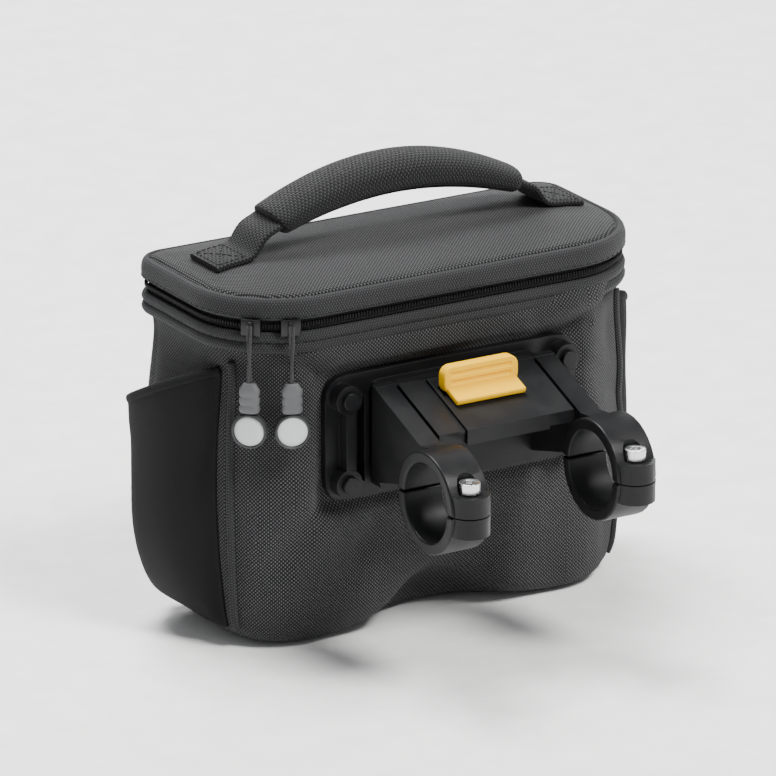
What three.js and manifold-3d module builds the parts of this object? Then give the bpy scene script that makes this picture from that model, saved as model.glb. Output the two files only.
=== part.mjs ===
// A small handlebar bag: sewn box-shaped body, zipped domed lid with a webbing handle, stretch side
// pockets, and a plastic bracket with two bar clamps and a sprung release lever.
// Millimetres, +X to the rider's right, +Y forward, +Z up. The origin is the middle of the flat base.
import * as THREE from 'three';
import { mergeVertices } from 'three/addons/utils/BufferGeometryUtils.js';
import Module from 'manifold-3d';

const wasm = await Module();
wasm.setup();

// Bag, seen from above: the rim is the widest outline, and the body stands inside it
const RIM_WIDTH = 195;
const RIM_DEPTH = 87;
const REAR_CORNER = 38;
const FRONT_CORNER = 12;
const SHARPEST_CORNER = 1.2;
const BODY_INSET = 5;
const SIDE_BULGE = 4;

// Heights of the stacked parts, from the base up
const BODY_HEIGHT = 135;
const BINDING_HEIGHT = 8.8;
const ZIP_HEIGHT = 4.6;
const BAND_HEIGHT = 8.4;
const LID_RISE = 5;

// Cloth and clearances
const WALL = 3;
const LID_WALL = 3;
const BINDING_THICK = 2.5;
const BAND_THICK = 2.4;
const POCKET_WALL = 1.2;
const GAP = 0.3;

// Bodies that are joined sink this far into each other, and cutting bodies reach past what they open
const SINK = 0.5;
const CUT_OVER = 1;

// Bottom edge roundings, and how far the rear edge is drawn up in its middle
const SIDE_ROUND = 16;
const REAR_ROUND = 4;
const FRONT_ROUND = 18;
const ARCH_ROUND = 14;
const ARCH_RISE = 11;
const ARCH_INSET = 12;
const FLAT_MARGIN = 5;

// Side panels and their piped seams
const SEAM_REAR = 22;
const SEAM_FRONT = 31;
const SEAM_BOTTOM = 3;
const SEAM_CORNER = 12;
const PIPING_RADIUS = 1.3;

// Side pockets
const POCKET_BULGE = 13;
const POCKET_LOW = 7;
const POCKET_TOP_REAR = 118;
const POCKET_TOP_FRONT = 93;

// Handle: it stands up from the lid, and its ends are set in from the ends of the rim
const HANDLE_Y = 6;
const HANDLE_RISE = 31.9;
const HANDLE_DROP = 13.8;
const GRIP_INSET = 42.5;
const GRIP_WIDTH = 25;
const GRIP_THICK = 16;
const GRIP_END_THICK = 10.5;
const GRIP_SIDES = 12;
const GRIP_STEPS = 16;
const WEBBING_WIDTH = 22;
const WEBBING_THICK = 2.6;
const ANCHOR_INSET = 12.5;

// Zip sliders and pulls, placed by their angle round the rear left corner
const SLIDER_ANGLES = [226, 249];
const SLIDER_WIDTH = 8;
const SLIDER_HEIGHT = 7;
const SLIDER_PLATE = 1.8;
const ZIP_SINK = 1.4;
const CORD_RADIUS = 1.1;
const CORD_DROP = 18.5;
const PULL_WIDTH = 8.4;
const PULL_THICK = 4.4;
const PULL_LENGTH = 12;
const DISC_RADIUS = 7.2;
const DISC_THICK = 4;

// Receiver plate on the rear panel
const RECEIVER_WIDTH = 116;
const RECEIVER_HEIGHT = 52;
const RECEIVER_LOW = 62;
const RECEIVER_THICK = 3.5;
const RECEIVER_CORNER = 10;
const RIBS = [{ x: 42.5, width: 2 }, { x: 49.5, width: 4.4 }];
const RIB_DEEP = 6;
const BLOCK_HALF = 38;
const BLOCK_DEEP = 7.5;
const BLOCK_MARGIN = 4;
const BLOCK_WALL = 2;
const BOSS_RADIUS = 6;
const BOSS_DEEP = 6;
const SCREW_X = 50.5;
const SCREW_INSET = 8.5;
const SCREW_RADIUS = 3.6;
const SCREW_HEIGHT = 2;

// Bracket with its two bar clamps
const BAR_RADIUS = 15.9;
const BAR_BEHIND = 49.4;
const BAR_Z = 77.9;
const CLAMP_X = 38;
const CLAMP_WIDTH = 18;
const CLAMP_WALL = 4.8;
const ARM_WIDTH = 9;
const PLATE_HALF = 31;
const PLATE_TOP_Z = 111.2;
const PLATE_SLOPE = 21;
const PLATE_LENGTH = 34;
const PLATE_THICK = 5;
const PLATE_SKIN = 3;
const PLATE_LIP = 2;
const ARM_SKIN = 2;
const SPINE_THICK = 2.5;
const PANEL_HALF = 19;
const PANEL_RAISE = 1.2;
const PANEL_START = 4;
const PANEL_OVER = 1.5;
const BOLT_RADIUS = 4.3;
const BOLT_HEAD = 4.5;
const BOLT_SOCKET = 2.4;
const LUG_RADIUS = 8.2;
const LUG_LENGTH = 8;
const BOLT_BEHIND = 2.8;
const SPLIT_HALF = 0.25;

// Release lever: an upright thumb pad with a lip on the sloped plate, turning on a hidden pin
const LEVER_WIDTH = 34;
const LEVER_HEIGHT = 11;
const LEVER_THICK = 5;
const LIP_WIDTH = 32;
const LIP_LENGTH = 7.5;
const LIP_THICK = 2.6;
const LEVER_BEHIND = 14.9;
const GROOVE_DEEP = 0.8;
const GROOVE_TALL = 1.4;

const LID_SEAM = BODY_HEIGHT + 2 * GAP + ZIP_HEIGHT + BAND_HEIGHT;
const RIM_HALF = RIM_WIDTH / 2;
const REAR_FACE = -RIM_DEPTH / 2 + BODY_INSET;
const HANDLE_TOP = LID_SEAM + LID_RISE + HANDLE_RISE;
const GRIP_HALF = RIM_HALF - GRIP_INSET;
const ANCHOR_END = RIM_HALF - ANCHOR_INSET;

const cloth = (colour) => new THREE.MeshStandardMaterial({ color: colour, roughness: 0.9, metalness: 0 });
const plastic = (colour) => new THREE.MeshStandardMaterial({ color: colour, roughness: 0.5, metalness: 0 });
const CANVAS = cloth(0x34363a);
const BINDING = cloth(0x26282b);
const STRETCH = cloth(0x1d1f21);
const WEBBING = cloth(0x2b2d30);
const CORD = cloth(0x6b6e72);
const BLACK_PLASTIC = plastic(0x202224);
const GREY_RUBBER = plastic(0x55585c);
const REFLECTOR = plastic(0xc8cbce);
const AMBER = plastic(0xf6b437);
const STEEL = new THREE.MeshStandardMaterial({ color: 0xb9bcc0, roughness: 0.3, metalness: 1 });

const part = new THREE.Group();

function add(name, geometry, material) {
  const mesh = new THREE.Mesh(geometry, material);
  mesh.name = name;
  part.add(mesh);
  return mesh;
}

const radians = (degrees) => (degrees * Math.PI) / 180;
const mix = (a, b, t) => a + (b - a) * t;

// A closed body from points and triangles, turned to face outwards
function closedBody(points, triangles) {
  let volume = 0;
  for (const [a, b, c] of triangles) {
    const [p, q, r] = [points[a], points[b], points[c]];
    volume += p[0] * (q[1] * r[2] - q[2] * r[1]) - p[1] * (q[0] * r[2] - q[2] * r[0])
      + p[2] * (q[0] * r[1] - q[1] * r[0]);
  }
  const facing = volume > 0 ? triangles : triangles.map(([a, b, c]) => [a, c, b]);
  const geometry = new THREE.BufferGeometry();
  geometry.setAttribute('position', new THREE.Float32BufferAttribute(points.flat(), 3));
  geometry.setIndex(facing.flat());
  return geometry;
}

// Rings of equal length joined side by side, with the two end rings closed by a middle point
function ringBody(rings) {
  const count = rings[0].length;
  const points = rings.flat();
  const triangles = [];
  for (let row = 0; row + 1 < rings.length; row += 1) {
    for (let i = 0; i < count; i += 1) {
      const [a, b] = [row * count + i, row * count + (i + 1) % count];
      triangles.push([a, b, b + count], [a, b + count, a + count]);
    }
  }
  for (const [start, flip] of [[0, true], [(rings.length - 1) * count, false]]) {
    const ring = points.slice(start, start + count);
    const middle = [0, 1, 2].map((axis) => ring.reduce((sum, p) => sum + p[axis], 0) / count);
    const centre = points.push(middle) - 1;
    for (let i = 0; i < count; i += 1) {
      const [a, b] = [start + i, start + (i + 1) % count];
      triangles.push(flip ? [centre, b, a] : [centre, a, b]);
    }
  }
  return closedBody(points, triangles);
}

// A band that runs round in a loop: each ring is one cross-section, and the last joins the first
function loopBody(sections) {
  const count = sections[0].length;
  const points = sections.flat();
  const triangles = [];
  sections.forEach((_, row) => {
    const next = (row + 1) % sections.length;
    for (let i = 0; i < count; i += 1) {
      const [a, b] = [row * count + i, row * count + (i + 1) % count];
      const [c, d] = [next * count + i, next * count + (i + 1) % count];
      triangles.push([a, b, d], [a, d, c]);
    }
  });
  return closedBody(points, triangles);
}

// A sheet with thickness: two grids of the same size, joined round their edges
function sheetBody(outer, inner) {
  const [rows, columns] = [outer.length, outer[0].length];
  const points = [...outer.flat(), ...inner.flat()];
  const half = rows * columns;
  const triangles = [];
  for (let r = 0; r + 1 < rows; r += 1) {
    for (let c = 0; c + 1 < columns; c += 1) {
      const a = r * columns + c;
      const [b, d, e] = [a + 1, a + columns, a + columns + 1];
      triangles.push([a, b, e], [a, e, d], [half + a, half + e, half + b], [half + a, half + d, half + e]);
    }
  }
  const edge = [];
  for (let c = 0; c < columns; c += 1) edge.push(c);
  for (let r = 1; r < rows; r += 1) edge.push(r * columns + columns - 1);
  for (let c = columns - 2; c >= 0; c -= 1) edge.push((rows - 1) * columns + c);
  for (let r = rows - 2; r > 0; r -= 1) edge.push(r * columns);
  edge.forEach((a, i) => {
    const b = edge[(i + 1) % edge.length];
    triangles.push([a, half + a, half + b], [a, half + b, b]);
  });
  return closedBody(points, triangles);
}

function solidOf(geometry) {
  const bare = geometry.clone();
  bare.deleteAttribute('normal');
  bare.deleteAttribute('uv');
  const merged = mergeVertices(bare, 1e-4);
  return new wasm.Manifold(new wasm.Mesh({
    numProp: 3,
    vertProperties: new Float32Array(merged.attributes.position.array),
    triVerts: new Uint32Array(merged.index.array),
  }));
}

function geometryOf(solid) {
  const { vertProperties, triVerts } = solid.getMesh();
  const geometry = new THREE.BufferGeometry();
  geometry.setAttribute('position', new THREE.Float32BufferAttribute(vertProperties, 3));
  geometry.setIndex([...triVerts]);
  return geometry;
}

const joined = (geometries) => geometries.map(solidOf).reduce((a, b) => a.add(b));

// Outline of the bag seen from above, drawn in from the rim by a different amount on each side.
// Each point carries the direction it faces.
function planOutline(side, rear, front) {
  const right = RIM_HALF - side;
  const back = -RIM_DEPTH / 2 + rear;
  const ahead = RIM_DEPTH / 2 - front;
  const rearRadius = Math.max(REAR_CORNER - Math.min(side, rear), SHARPEST_CORNER);
  const frontRadius = Math.max(FRONT_CORNER - Math.min(side, front), SHARPEST_CORNER);
  const corners = [
    { x: right - rearRadius, y: back + rearRadius, radius: rearRadius, from: -90, steps: 6, next: 4 },
    { x: right - frontRadius, y: ahead - frontRadius, radius: frontRadius, from: 0, steps: 4, next: 6 },
    { x: -right + frontRadius, y: ahead - frontRadius, radius: frontRadius, from: 90, steps: 4, next: 4 },
    { x: -right + rearRadius, y: back + rearRadius, radius: rearRadius, from: 180, steps: 6, next: 8 },
  ];
  const points = [];
  corners.forEach((corner) => {
    for (let i = 0; i <= corner.steps; i += 1) {
      const angle = radians(corner.from + (90 * i) / corner.steps);
      const [nx, ny] = [Math.cos(angle), Math.sin(angle)];
      points.push({ x: corner.x + corner.radius * nx, y: corner.y + corner.radius * ny, nx, ny, next: 0 });
    }
    points[points.length - 1].next = corner.next;
  });
  return points.flatMap((point, i) => {
    const after = points[(i + 1) % points.length];
    const filled = [point];
    for (let k = 1; k < point.next; k += 1) {
      const t = k / point.next;
      filled.push({ ...point, x: mix(point.x, after.x, t), y: mix(point.y, after.y, t) });
    }
    return filled;
  });
}

// How strongly a point belongs to the middle of the rear edge, from 0 to 1
function archShare({ x, ny }) {
  const across = Math.min(Math.abs(x) / (RIM_HALF - REAR_CORNER - ARCH_INSET), 1);
  return ny < 0 ? ny * ny * Math.cos((across * Math.PI) / 2) ** 2 : 0;
}

// Rounding of the bottom edge at a point
function bottomRadius(point) {
  const along = point.ny < 0 ? REAR_ROUND : FRONT_ROUND;
  return mix(SIDE_ROUND, along, point.ny * point.ny) + ARCH_ROUND * archShare(point);
}

// One ring of the bottom rounding: 0 degrees lies on the base, 90 degrees is upright
function roundRing(wall, degrees) {
  const inward = 1 - Math.sin(radians(degrees));
  const start = BODY_INSET + wall;
  const outline = planOutline(start + (SIDE_ROUND - wall) * inward, start + (REAR_ROUND - wall) * inward,
    start + (FRONT_ROUND - wall) * inward);
  return outline.map((point) => {
    const up = (bottomRadius(point) - wall) * (1 - Math.cos(radians(degrees)));
    const arch = archShare(point);
    return [point.x, point.y + ARCH_ROUND * arch * inward, wall + up + ARCH_RISE * arch];
  });
}

// The flat middle of the base
function baseRing(wall) {
  const start = BODY_INSET + FLAT_MARGIN;
  const outline = planOutline(start + SIDE_ROUND, start + REAR_ROUND, start + FRONT_ROUND);
  return outline.map((point) => [point.x, point.y + ARCH_ROUND * archShare(point), wall]);
}

// Body wall above the rounding: height as a share of the body height, inset as a share of the body
// inset, and bulge as a share of the side bulge
const WALL_SECTIONS = [
  { height: 0.3, inset: 1, bulge: 0.7 },
  { height: 0.46, inset: 1, bulge: 1 },
  { height: 0.66, inset: 1, bulge: 0.85 },
  { height: 0.84, inset: 1, bulge: 0.2 },
  { height: 0.91, inset: 0.86, bulge: 0 },
  { height: 0.945, inset: 0.56, bulge: 0 },
  { height: 1, inset: 0.56, bulge: 0 },
];

function wallRing(wall, { height, inset, bulge }) {
  const start = BODY_INSET * inset + wall;
  return planOutline(start, start, start).map((point) => {
    const out = SIDE_BULGE * bulge * (point.ny < 0 ? point.nx * point.nx : 1);
    return [point.x + out * point.nx, point.y + out * point.ny, BODY_HEIGHT * height];
  });
}

const ROUND_STEPS = [0, 30, 60, 90];

function bodyShell() {
  const outer = [baseRing(0), ...ROUND_STEPS.map((degrees) => roundRing(0, degrees)),
    ...WALL_SECTIONS.map((section) => wallRing(0, section))];
  const inner = [baseRing(WALL), ...ROUND_STEPS.map((degrees) => roundRing(WALL, degrees)),
    ...WALL_SECTIONS.map((section) => wallRing(WALL, section))];
  return solidOf(ringBody([...outer, ...inner.reverse()]));
}

// The region of a side panel: a rounded upright panel shape, extruded across one side of the bag
function sidePrism(side, grow) {
  const [low, rear, front] = [SEAM_BOTTOM - grow, -SEAM_REAR - grow, SEAM_FRONT + grow];
  const high = BODY_HEIGHT * 2;
  const shape = new THREE.Shape();
  shape.moveTo(rear, high);
  shape.lineTo(rear, low + SEAM_CORNER);
  shape.quadraticCurveTo(rear, low, rear + SEAM_CORNER, low);
  shape.lineTo(front - SEAM_CORNER, low);
  shape.quadraticCurveTo(front, low, front, low + SEAM_CORNER);
  shape.lineTo(front, high);
  const width = RIM_HALF;
  const geometry = new THREE.ExtrudeGeometry(shape, { depth: width, bevelEnabled: false, curveSegments: 3 });
  const inner = RIM_HALF - REAR_CORNER;
  geometry.applyMatrix4(new THREE.Matrix4().set(0, 0, 1, side > 0 ? inner : -inner - width, 1, 0, 0, 0,
    0, 1, 0, 0, 0, 0, 0, 1));
  return solidOf(geometry);
}

function buildBody() {
  const shell = bodyShell();
  let wrap = shell;
  for (const [label, side] of [['left', -1], ['right', 1]]) {
    wrap = wrap.subtract(sidePrism(side, GAP / 2));
    add(`side_panel_${label}`, geometryOf(shell.intersect(sidePrism(side, -GAP / 2))), CANVAS);
  }
  add('wrap_panel', geometryOf(wrap), CANVAS);
}

// Point on the outside of the body at an angle round the rear corner, for one height
function cornerPoint(side, degrees, height, out) {
  const share = height / BODY_HEIGHT;
  const after = WALL_SECTIONS.findIndex((section) => section.height >= share);
  let inset = BODY_INSET;
  let bulge = 0;
  const angle = radians(degrees);
  if (share <= WALL_SECTIONS[0].height) {
    const round = mix(SIDE_ROUND, REAR_ROUND, Math.sin(angle) ** 2);
    const rounding = Math.max(round - height, 0);
    inset += round - Math.sqrt(round ** 2 - rounding ** 2);
    bulge = WALL_SECTIONS[0].bulge * Math.max(height - round, 0)
      / (WALL_SECTIONS[0].height * BODY_HEIGHT - round);
  } else {
    const [a, b] = [WALL_SECTIONS[after - 1], WALL_SECTIONS[after]];
    const t = (share - a.height) / (b.height - a.height);
    inset = BODY_INSET * mix(a.inset, b.inset, t);
    bulge = mix(a.bulge, b.bulge, t);
  }
  const reach = REAR_CORNER - inset + SIDE_BULGE * bulge * Math.cos(angle) ** 2 + out;
  const x = RIM_HALF - REAR_CORNER + reach * Math.cos(angle);
  return new THREE.Vector3(side * x, -RIM_DEPTH / 2 + REAR_CORNER - reach * Math.sin(angle), height);
}

function tubeBody(points, radius, sides, steps) {
  const path = new THREE.CatmullRomCurve3(points);
  const shape = new THREE.Shape();
  for (let i = 0; i < sides; i += 1) {
    const angle = (2 * Math.PI * i) / sides;
    const [x, y] = [radius * Math.cos(angle), radius * Math.sin(angle)];
    if (i === 0) shape.moveTo(x, y);
    else shape.lineTo(x, y);
  }
  return new THREE.ExtrudeGeometry(shape, { steps, bevelEnabled: false, extrudePath: path });
}

function buildPiping() {
  const seamDepth = RIM_DEPTH / 2 - SEAM_REAR;
  const degrees = (Math.asin((REAR_CORNER - seamDepth) / (REAR_CORNER - BODY_INSET)) * 180) / Math.PI;
  const heights = [0.06, 0.12, 0.3, 0.46, 0.66, 0.84, 0.9].map((share) => share * BODY_HEIGHT);
  for (const [label, side] of [['left', -1], ['right', 1]]) {
    const points = heights.map((height) => cornerPoint(side, degrees, height, PIPING_RADIUS + 2 * GAP));
    add(`corner_piping_${label}`, tubeBody(points, PIPING_RADIUS, 6, 14), BINDING);
  }
}

// Rim parts: a cross-section given by inset from the rim and height, carried round the outline
function rimBand(section) {
  const rings = section.map(([inset]) => planOutline(inset, inset, inset));
  return loopBody(rings[0].map((_, i) => section.map(([, height], k) => [rings[k][i].x, rings[k][i].y, height])));
}

function buildRim() {
  const top = BODY_HEIGHT + GAP;
  const low = top - BINDING_HEIGHT;
  const groove = low + BINDING_HEIGHT / 2;
  add('rim_binding', rimBand([[BINDING_THICK, low], [0.7, low + 0.2], [0, low + 0.25 * BINDING_HEIGHT],
    [0.9, groove], [0, low + 0.75 * BINDING_HEIGHT], [0.7, top - 0.2], [BINDING_THICK, top]]), BINDING);

  const zipLow = top + GAP;
  const zipTop = zipLow + ZIP_HEIGHT;
  add('zip_track', rimBand([[4.6, zipLow], [2.6, zipLow], [2.4, mix(zipLow, zipTop, 0.25)],
    [ZIP_SINK, mix(zipLow, zipTop, 0.5)], [2.4, mix(zipLow, zipTop, 0.75)], [2.6, zipTop], [4.6, zipTop]]), BINDING);

  const bandLow = zipTop + GAP;
  add('lid_band', rimBand([[BAND_THICK, bandLow], [0.6, bandLow], [0, bandLow + 1.5],
    [0, LID_SEAM - 2.4], [0.8, LID_SEAM - 0.5], [2.2, LID_SEAM], [3.2, LID_SEAM - 0.8],
    [BAND_THICK + 0.4, LID_SEAM - 3]]), BINDING);
}

// Lid panel: inset as a share of half the depth, and height as a share of the lid's rise
const LID_SECTIONS = [
  { inward: 0, rise: 0 },
  { inward: 0.06, rise: 0.22 },
  { inward: 0.2, rise: 0.52 },
  { inward: 0.42, rise: 0.82 },
  { inward: 0.68, rise: 0.97 },
  { inward: 0.9, rise: 1 },
];

function lidRing(drop, { inward, rise }) {
  const start = BAND_THICK + 4 * GAP;
  const inset = start + (RIM_DEPTH / 2 - start) * inward;
  return planOutline(inset, inset, inset).map(({ x, y }) => [x, y, LID_SEAM + LID_RISE * rise - drop]);
}

function buildLid() {
  const outer = LID_SECTIONS.map((section) => lidRing(0, section));
  const inner = LID_SECTIONS.map((section) => lidRing(LID_WALL, section));
  add('lid_panel', ringBody([...outer.reverse(), ...inner]), CANVAS);
}

// Side pocket: along the side from the rear seam to the front, and up from the bottom seam
const POCKET_ALONG = [
  { along: 0, out: 0 },
  { along: 0.06, out: 0.2 },
  { along: 0.2, out: 0.62 },
  { along: 0.38, out: 0.9 },
  { along: 0.6, out: 1 },
  { along: 0.8, out: 1 },
  { along: 0.92, out: 0.82 },
  { along: 0.98, out: 0.36 },
  { along: 1, out: 0 },
];
const POCKET_UP = [
  { up: 0, out: 0 },
  { up: 0.06, out: 0.36 },
  { up: 0.18, out: 0.78 },
  { up: 0.4, out: 1 },
  { up: 0.62, out: 0.84 },
  { up: 0.82, out: 0.9 },
  { up: 0.97, out: 1.1 },
  { up: 1, out: 1.04 },
];

// Outside face of the body's side at a place along and up it
function sideFace(y, height) {
  const rearCentre = -RIM_DEPTH / 2 + REAR_CORNER;
  if (y < rearCentre) {
    const degrees = (Math.asin(Math.min((rearCentre - y) / (REAR_CORNER - BODY_INSET), 1)) * 180) / Math.PI;
    return cornerPoint(1, degrees, height, 0).x;
  }
  return cornerPoint(1, 0, height, 0).x;
}

function pocketGrid(side, inward) {
  const rear = -SEAM_REAR + 2 * PIPING_RADIUS + 1.5;
  const front = RIM_DEPTH / 2 - FRONT_CORNER;
  return POCKET_UP.map(({ up, out }) => POCKET_ALONG.map(({ along, out: reach }) => {
    const y = mix(rear, front, along);
    const top = mix(POCKET_TOP_REAR, POCKET_TOP_FRONT, along);
    const height = mix(POCKET_LOW, top, up);
    const base = sideFace(y, height) + POCKET_WALL + 3 * GAP;
    return [side * (base + POCKET_BULGE * out * reach - inward), y, height];
  }));
}

function buildPockets() {
  for (const [label, side] of [['left', -1], ['right', 1]]) {
    add(`side_pocket_${label}`, sheetBody(pocketGrid(side, 0), pocketGrid(side, POCKET_WALL)), STRETCH);
  }
}

// Height of the lid's outside at a place on it
function lidHeight(x, y) {
  const start = BAND_THICK + 4 * GAP;
  const edge = Math.min(RIM_HALF - Math.abs(x), RIM_DEPTH / 2 - Math.abs(y)) - start;
  const inward = Math.min(Math.max(edge / (RIM_DEPTH / 2 - start), 0), 0.9);
  const after = Math.max(LID_SECTIONS.findIndex((section) => section.inward >= inward), 1);
  const [a, b] = [LID_SECTIONS[after - 1], LID_SECTIONS[after]];
  return LID_SEAM + LID_RISE * mix(a.rise, b.rise, (inward - a.inward) / (b.inward - a.inward));
}

// The grip's arch: height of its top, its thickness and its slope at a place along it
const gripTop = (x) => HANDLE_TOP - HANDLE_DROP * (x / GRIP_HALF) ** 2;
const gripThick = (x) => mix(GRIP_THICK, GRIP_END_THICK, (x / GRIP_HALF) ** 2);
const gripSlope = (x) => Math.atan((-2 * HANDLE_DROP * x) / GRIP_HALF ** 2);
const gripHeight = (x) => gripTop(x) - gripThick(x) / 2 / Math.cos(gripSlope(x));

// One ring of the rolled webbing grip, square to the arch
function gripRing(x) {
  const ring = [];
  for (let i = 0; i < GRIP_SIDES; i += 1) {
    const angle = (2 * Math.PI * i) / GRIP_SIDES;
    const up = (gripThick(x) / 2) * Math.sin(angle);
    ring.push([x - up * Math.sin(gripSlope(x)), HANDLE_Y + (GRIP_WIDTH / 2) * Math.cos(angle),
      gripHeight(x) + up * Math.cos(gripSlope(x))]);
  }
  return ring;
}

function buildHandle() {
  const rings = [];
  for (let i = 0; i <= GRIP_STEPS; i += 1) rings.push(gripRing(GRIP_HALF * ((2 * i) / GRIP_STEPS - 1)));
  add('handle_grip', ringBody(rings), WEBBING);

  for (const [label, side] of [['left', -1], ['right', 1]]) {
    add(`handle_anchor_${label}`, anchorBody(side), WEBBING);
  }
}

// Webbing from the end of the grip down to the lid, where it lies flat and is stitched
function anchorBody(side) {
  const landing = mix(GRIP_HALF, ANCHOR_END, 0.5);
  const seat = lidHeight(ANCHOR_END, HANDLE_Y) + GAP + 0.4;
  const start = gripHeight(GRIP_HALF) - WEBBING_THICK / 2;
  const route = [
    [GRIP_HALF + 2 * GAP, start - 0.5],
    [mix(GRIP_HALF, landing, 0.5), start - 2.6],
    [landing, lidHeight(landing, HANDLE_Y) + 1.6],
    [mix(landing, ANCHOR_END, 0.45), lidHeight(mix(landing, ANCHOR_END, 0.45), HANDLE_Y) + 2 * GAP],
    [ANCHOR_END, seat],
  ];
  const half = WEBBING_WIDTH / 2;
  const rows = (raise) => route.map(([x, z]) => [-half, half].map((y) => [side * x, HANDLE_Y + y, z + raise]));
  return sheetBody(rows(WEBBING_THICK), rows(0));
}

// Zip sliders on the rear left corner, each with its cord, moulded grip and light disc hanging down
function buildPulls() {
  const zipMiddle = BODY_HEIGHT + 2 * GAP + ZIP_HEIGHT / 2;
  ['front', 'rear'].forEach((label, i) => {
    const angle = radians(SLIDER_ANGLES[i]);
    const out = new THREE.Vector3(Math.cos(angle), Math.sin(angle), 0);
    const seat = new THREE.Vector3(-RIM_HALF + REAR_CORNER, -RIM_DEPTH / 2 + REAR_CORNER, 0)
      .addScaledVector(out, REAR_CORNER);
    const turn = angle + Math.PI / 2;
    const place = (geometry, away, height) => geometry.rotateZ(turn)
      .translate(seat.x + away * out.x, seat.y + away * out.y, height);

    add(`zip_slider_${label}`, place(sliderBody(), 0, zipMiddle), STEEL);
    const away = 2 * GAP + SLIDER_PLATE + CORD_RADIUS + GAP;
    const cordTop = zipMiddle + CORD_RADIUS;
    const cordEnd = zipMiddle - SLIDER_HEIGHT / 2 - CORD_DROP;
    add(`pull_cord_${label}`, place(cordBody(cordTop - cordEnd), away, cordEnd), CORD);
    add(`pull_grip_${label}`, place(gripBody(), away, cordEnd - GAP), GREY_RUBBER);
    const discHeight = cordEnd - 2 * GAP - PULL_LENGTH - DISC_RADIUS;
    add(`pull_disc_${label}`, place(discBody(), away, discHeight), REFLECTOR);
  });
}

// Slider drawn facing the rear: a block in the zip's groove behind a taller face plate
function sliderBody() {
  const blockDeep = ZIP_SINK + SLIDER_PLATE / 2;
  const block = new THREE.BoxGeometry(SLIDER_WIDTH * 0.8, blockDeep, ZIP_HEIGHT - 2 * GAP);
  block.translate(0, ZIP_SINK - 2 * GAP - blockDeep / 2, 0);
  const plate = new THREE.BoxGeometry(SLIDER_WIDTH, SLIDER_PLATE, SLIDER_HEIGHT);
  plate.translate(0, -2 * GAP - SLIDER_PLATE / 2, 0);
  return geometryOf(joined([block, plate]));
}

function cordBody(length) {
  const geometry = new THREE.CylinderGeometry(CORD_RADIUS, CORD_RADIUS, length, 8);
  return geometry.rotateX(Math.PI / 2).translate(0, 0, length / 2);
}

function gripBody() {
  const shape = new THREE.Shape();
  const [half, narrow] = [PULL_WIDTH / 2, PULL_WIDTH * 0.36];
  const ribs = 3;
  shape.moveTo(-half, -PULL_LENGTH);
  for (let i = 0; i < ribs; i += 1) {
    const low = -PULL_LENGTH + (PULL_LENGTH * 0.85 * i) / ribs;
    const high = -PULL_LENGTH + (PULL_LENGTH * 0.85 * (i + 1)) / ribs;
    shape.lineTo(-half, mix(low, high, 0.7));
    shape.lineTo(-half + 0.6, high);
  }
  shape.lineTo(-narrow, 0);
  shape.lineTo(narrow, 0);
  for (let i = ribs - 1; i >= 0; i -= 1) {
    const low = -PULL_LENGTH + (PULL_LENGTH * 0.85 * i) / ribs;
    const high = -PULL_LENGTH + (PULL_LENGTH * 0.85 * (i + 1)) / ribs;
    shape.lineTo(half - 0.6, high);
    shape.lineTo(half, mix(low, high, 0.7));
  }
  shape.lineTo(half, -PULL_LENGTH);
  const geometry = new THREE.ExtrudeGeometry(shape, { depth: PULL_THICK, bevelEnabled: false });
  return geometry.translate(0, 0, -PULL_THICK / 2).rotateX(Math.PI / 2);
}

// Light disc in a thin raised rim
function discBody() {
  const half = DISC_THICK / 2;
  const profile = [[0, -half + 0.5], [DISC_RADIUS - 1.2, -half + 0.5], [DISC_RADIUS - 1, -half],
    [DISC_RADIUS, -half + 0.5], [DISC_RADIUS, half - 0.5], [DISC_RADIUS - 1, half], [0, half]];
  const geometry = new THREE.LatheGeometry(profile.map(([r, z]) => new THREE.Vector2(r, z)), 20);
  return geometryOf(solidOf(geometry));
}

function roundedRectangle(halfWidth, low, high, radius) {
  const shape = new THREE.Shape();
  shape.moveTo(-halfWidth + radius, low);
  shape.lineTo(halfWidth - radius, low);
  shape.quadraticCurveTo(halfWidth, low, halfWidth, low + radius);
  shape.lineTo(halfWidth, high - radius);
  shape.quadraticCurveTo(halfWidth, high, halfWidth - radius, high);
  shape.lineTo(-halfWidth + radius, high);
  shape.quadraticCurveTo(-halfWidth, high, -halfWidth, high - radius);
  shape.lineTo(-halfWidth, low + radius);
  shape.quadraticCurveTo(-halfWidth, low, -halfWidth + radius, low);
  return shape;
}

// Extrudes a shape drawn in X and Z from one depth back towards the rider
function extrudeBack(shape, from, depth, segments = 4) {
  const geometry = new THREE.ExtrudeGeometry(shape, { depth, bevelEnabled: false, curveSegments: segments });
  return geometry.rotateX(Math.PI / 2).translate(0, from, 0);
}

function cylinderBack(x, z, radius, from, depth, sides = 16) {
  const geometry = new THREE.CylinderGeometry(radius, radius, depth, sides);
  return geometry.translate(x, from - depth / 2, z);
}

const RECEIVER_FACE = REAR_FACE - GAP;
const screwPlaces = [-1, 1].flatMap((side) => [SCREW_INSET, RECEIVER_HEIGHT - SCREW_INSET]
  .map((height) => ({ x: side * SCREW_X, z: RECEIVER_LOW + height })));

// The middle block is moulded with an even wall, open towards the bag
function blockHollow() {
  const shape = roundedRectangle(BLOCK_HALF - BLOCK_WALL, RECEIVER_LOW + BLOCK_MARGIN + BLOCK_WALL,
    RECEIVER_LOW + RECEIVER_HEIGHT - BLOCK_MARGIN - BLOCK_WALL, BLOCK_MARGIN - BLOCK_WALL);
  return solidOf(extrudeBack(shape, RECEIVER_FACE + CUT_OVER, RECEIVER_THICK + BLOCK_DEEP - BLOCK_WALL + CUT_OVER, 2));
}

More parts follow.
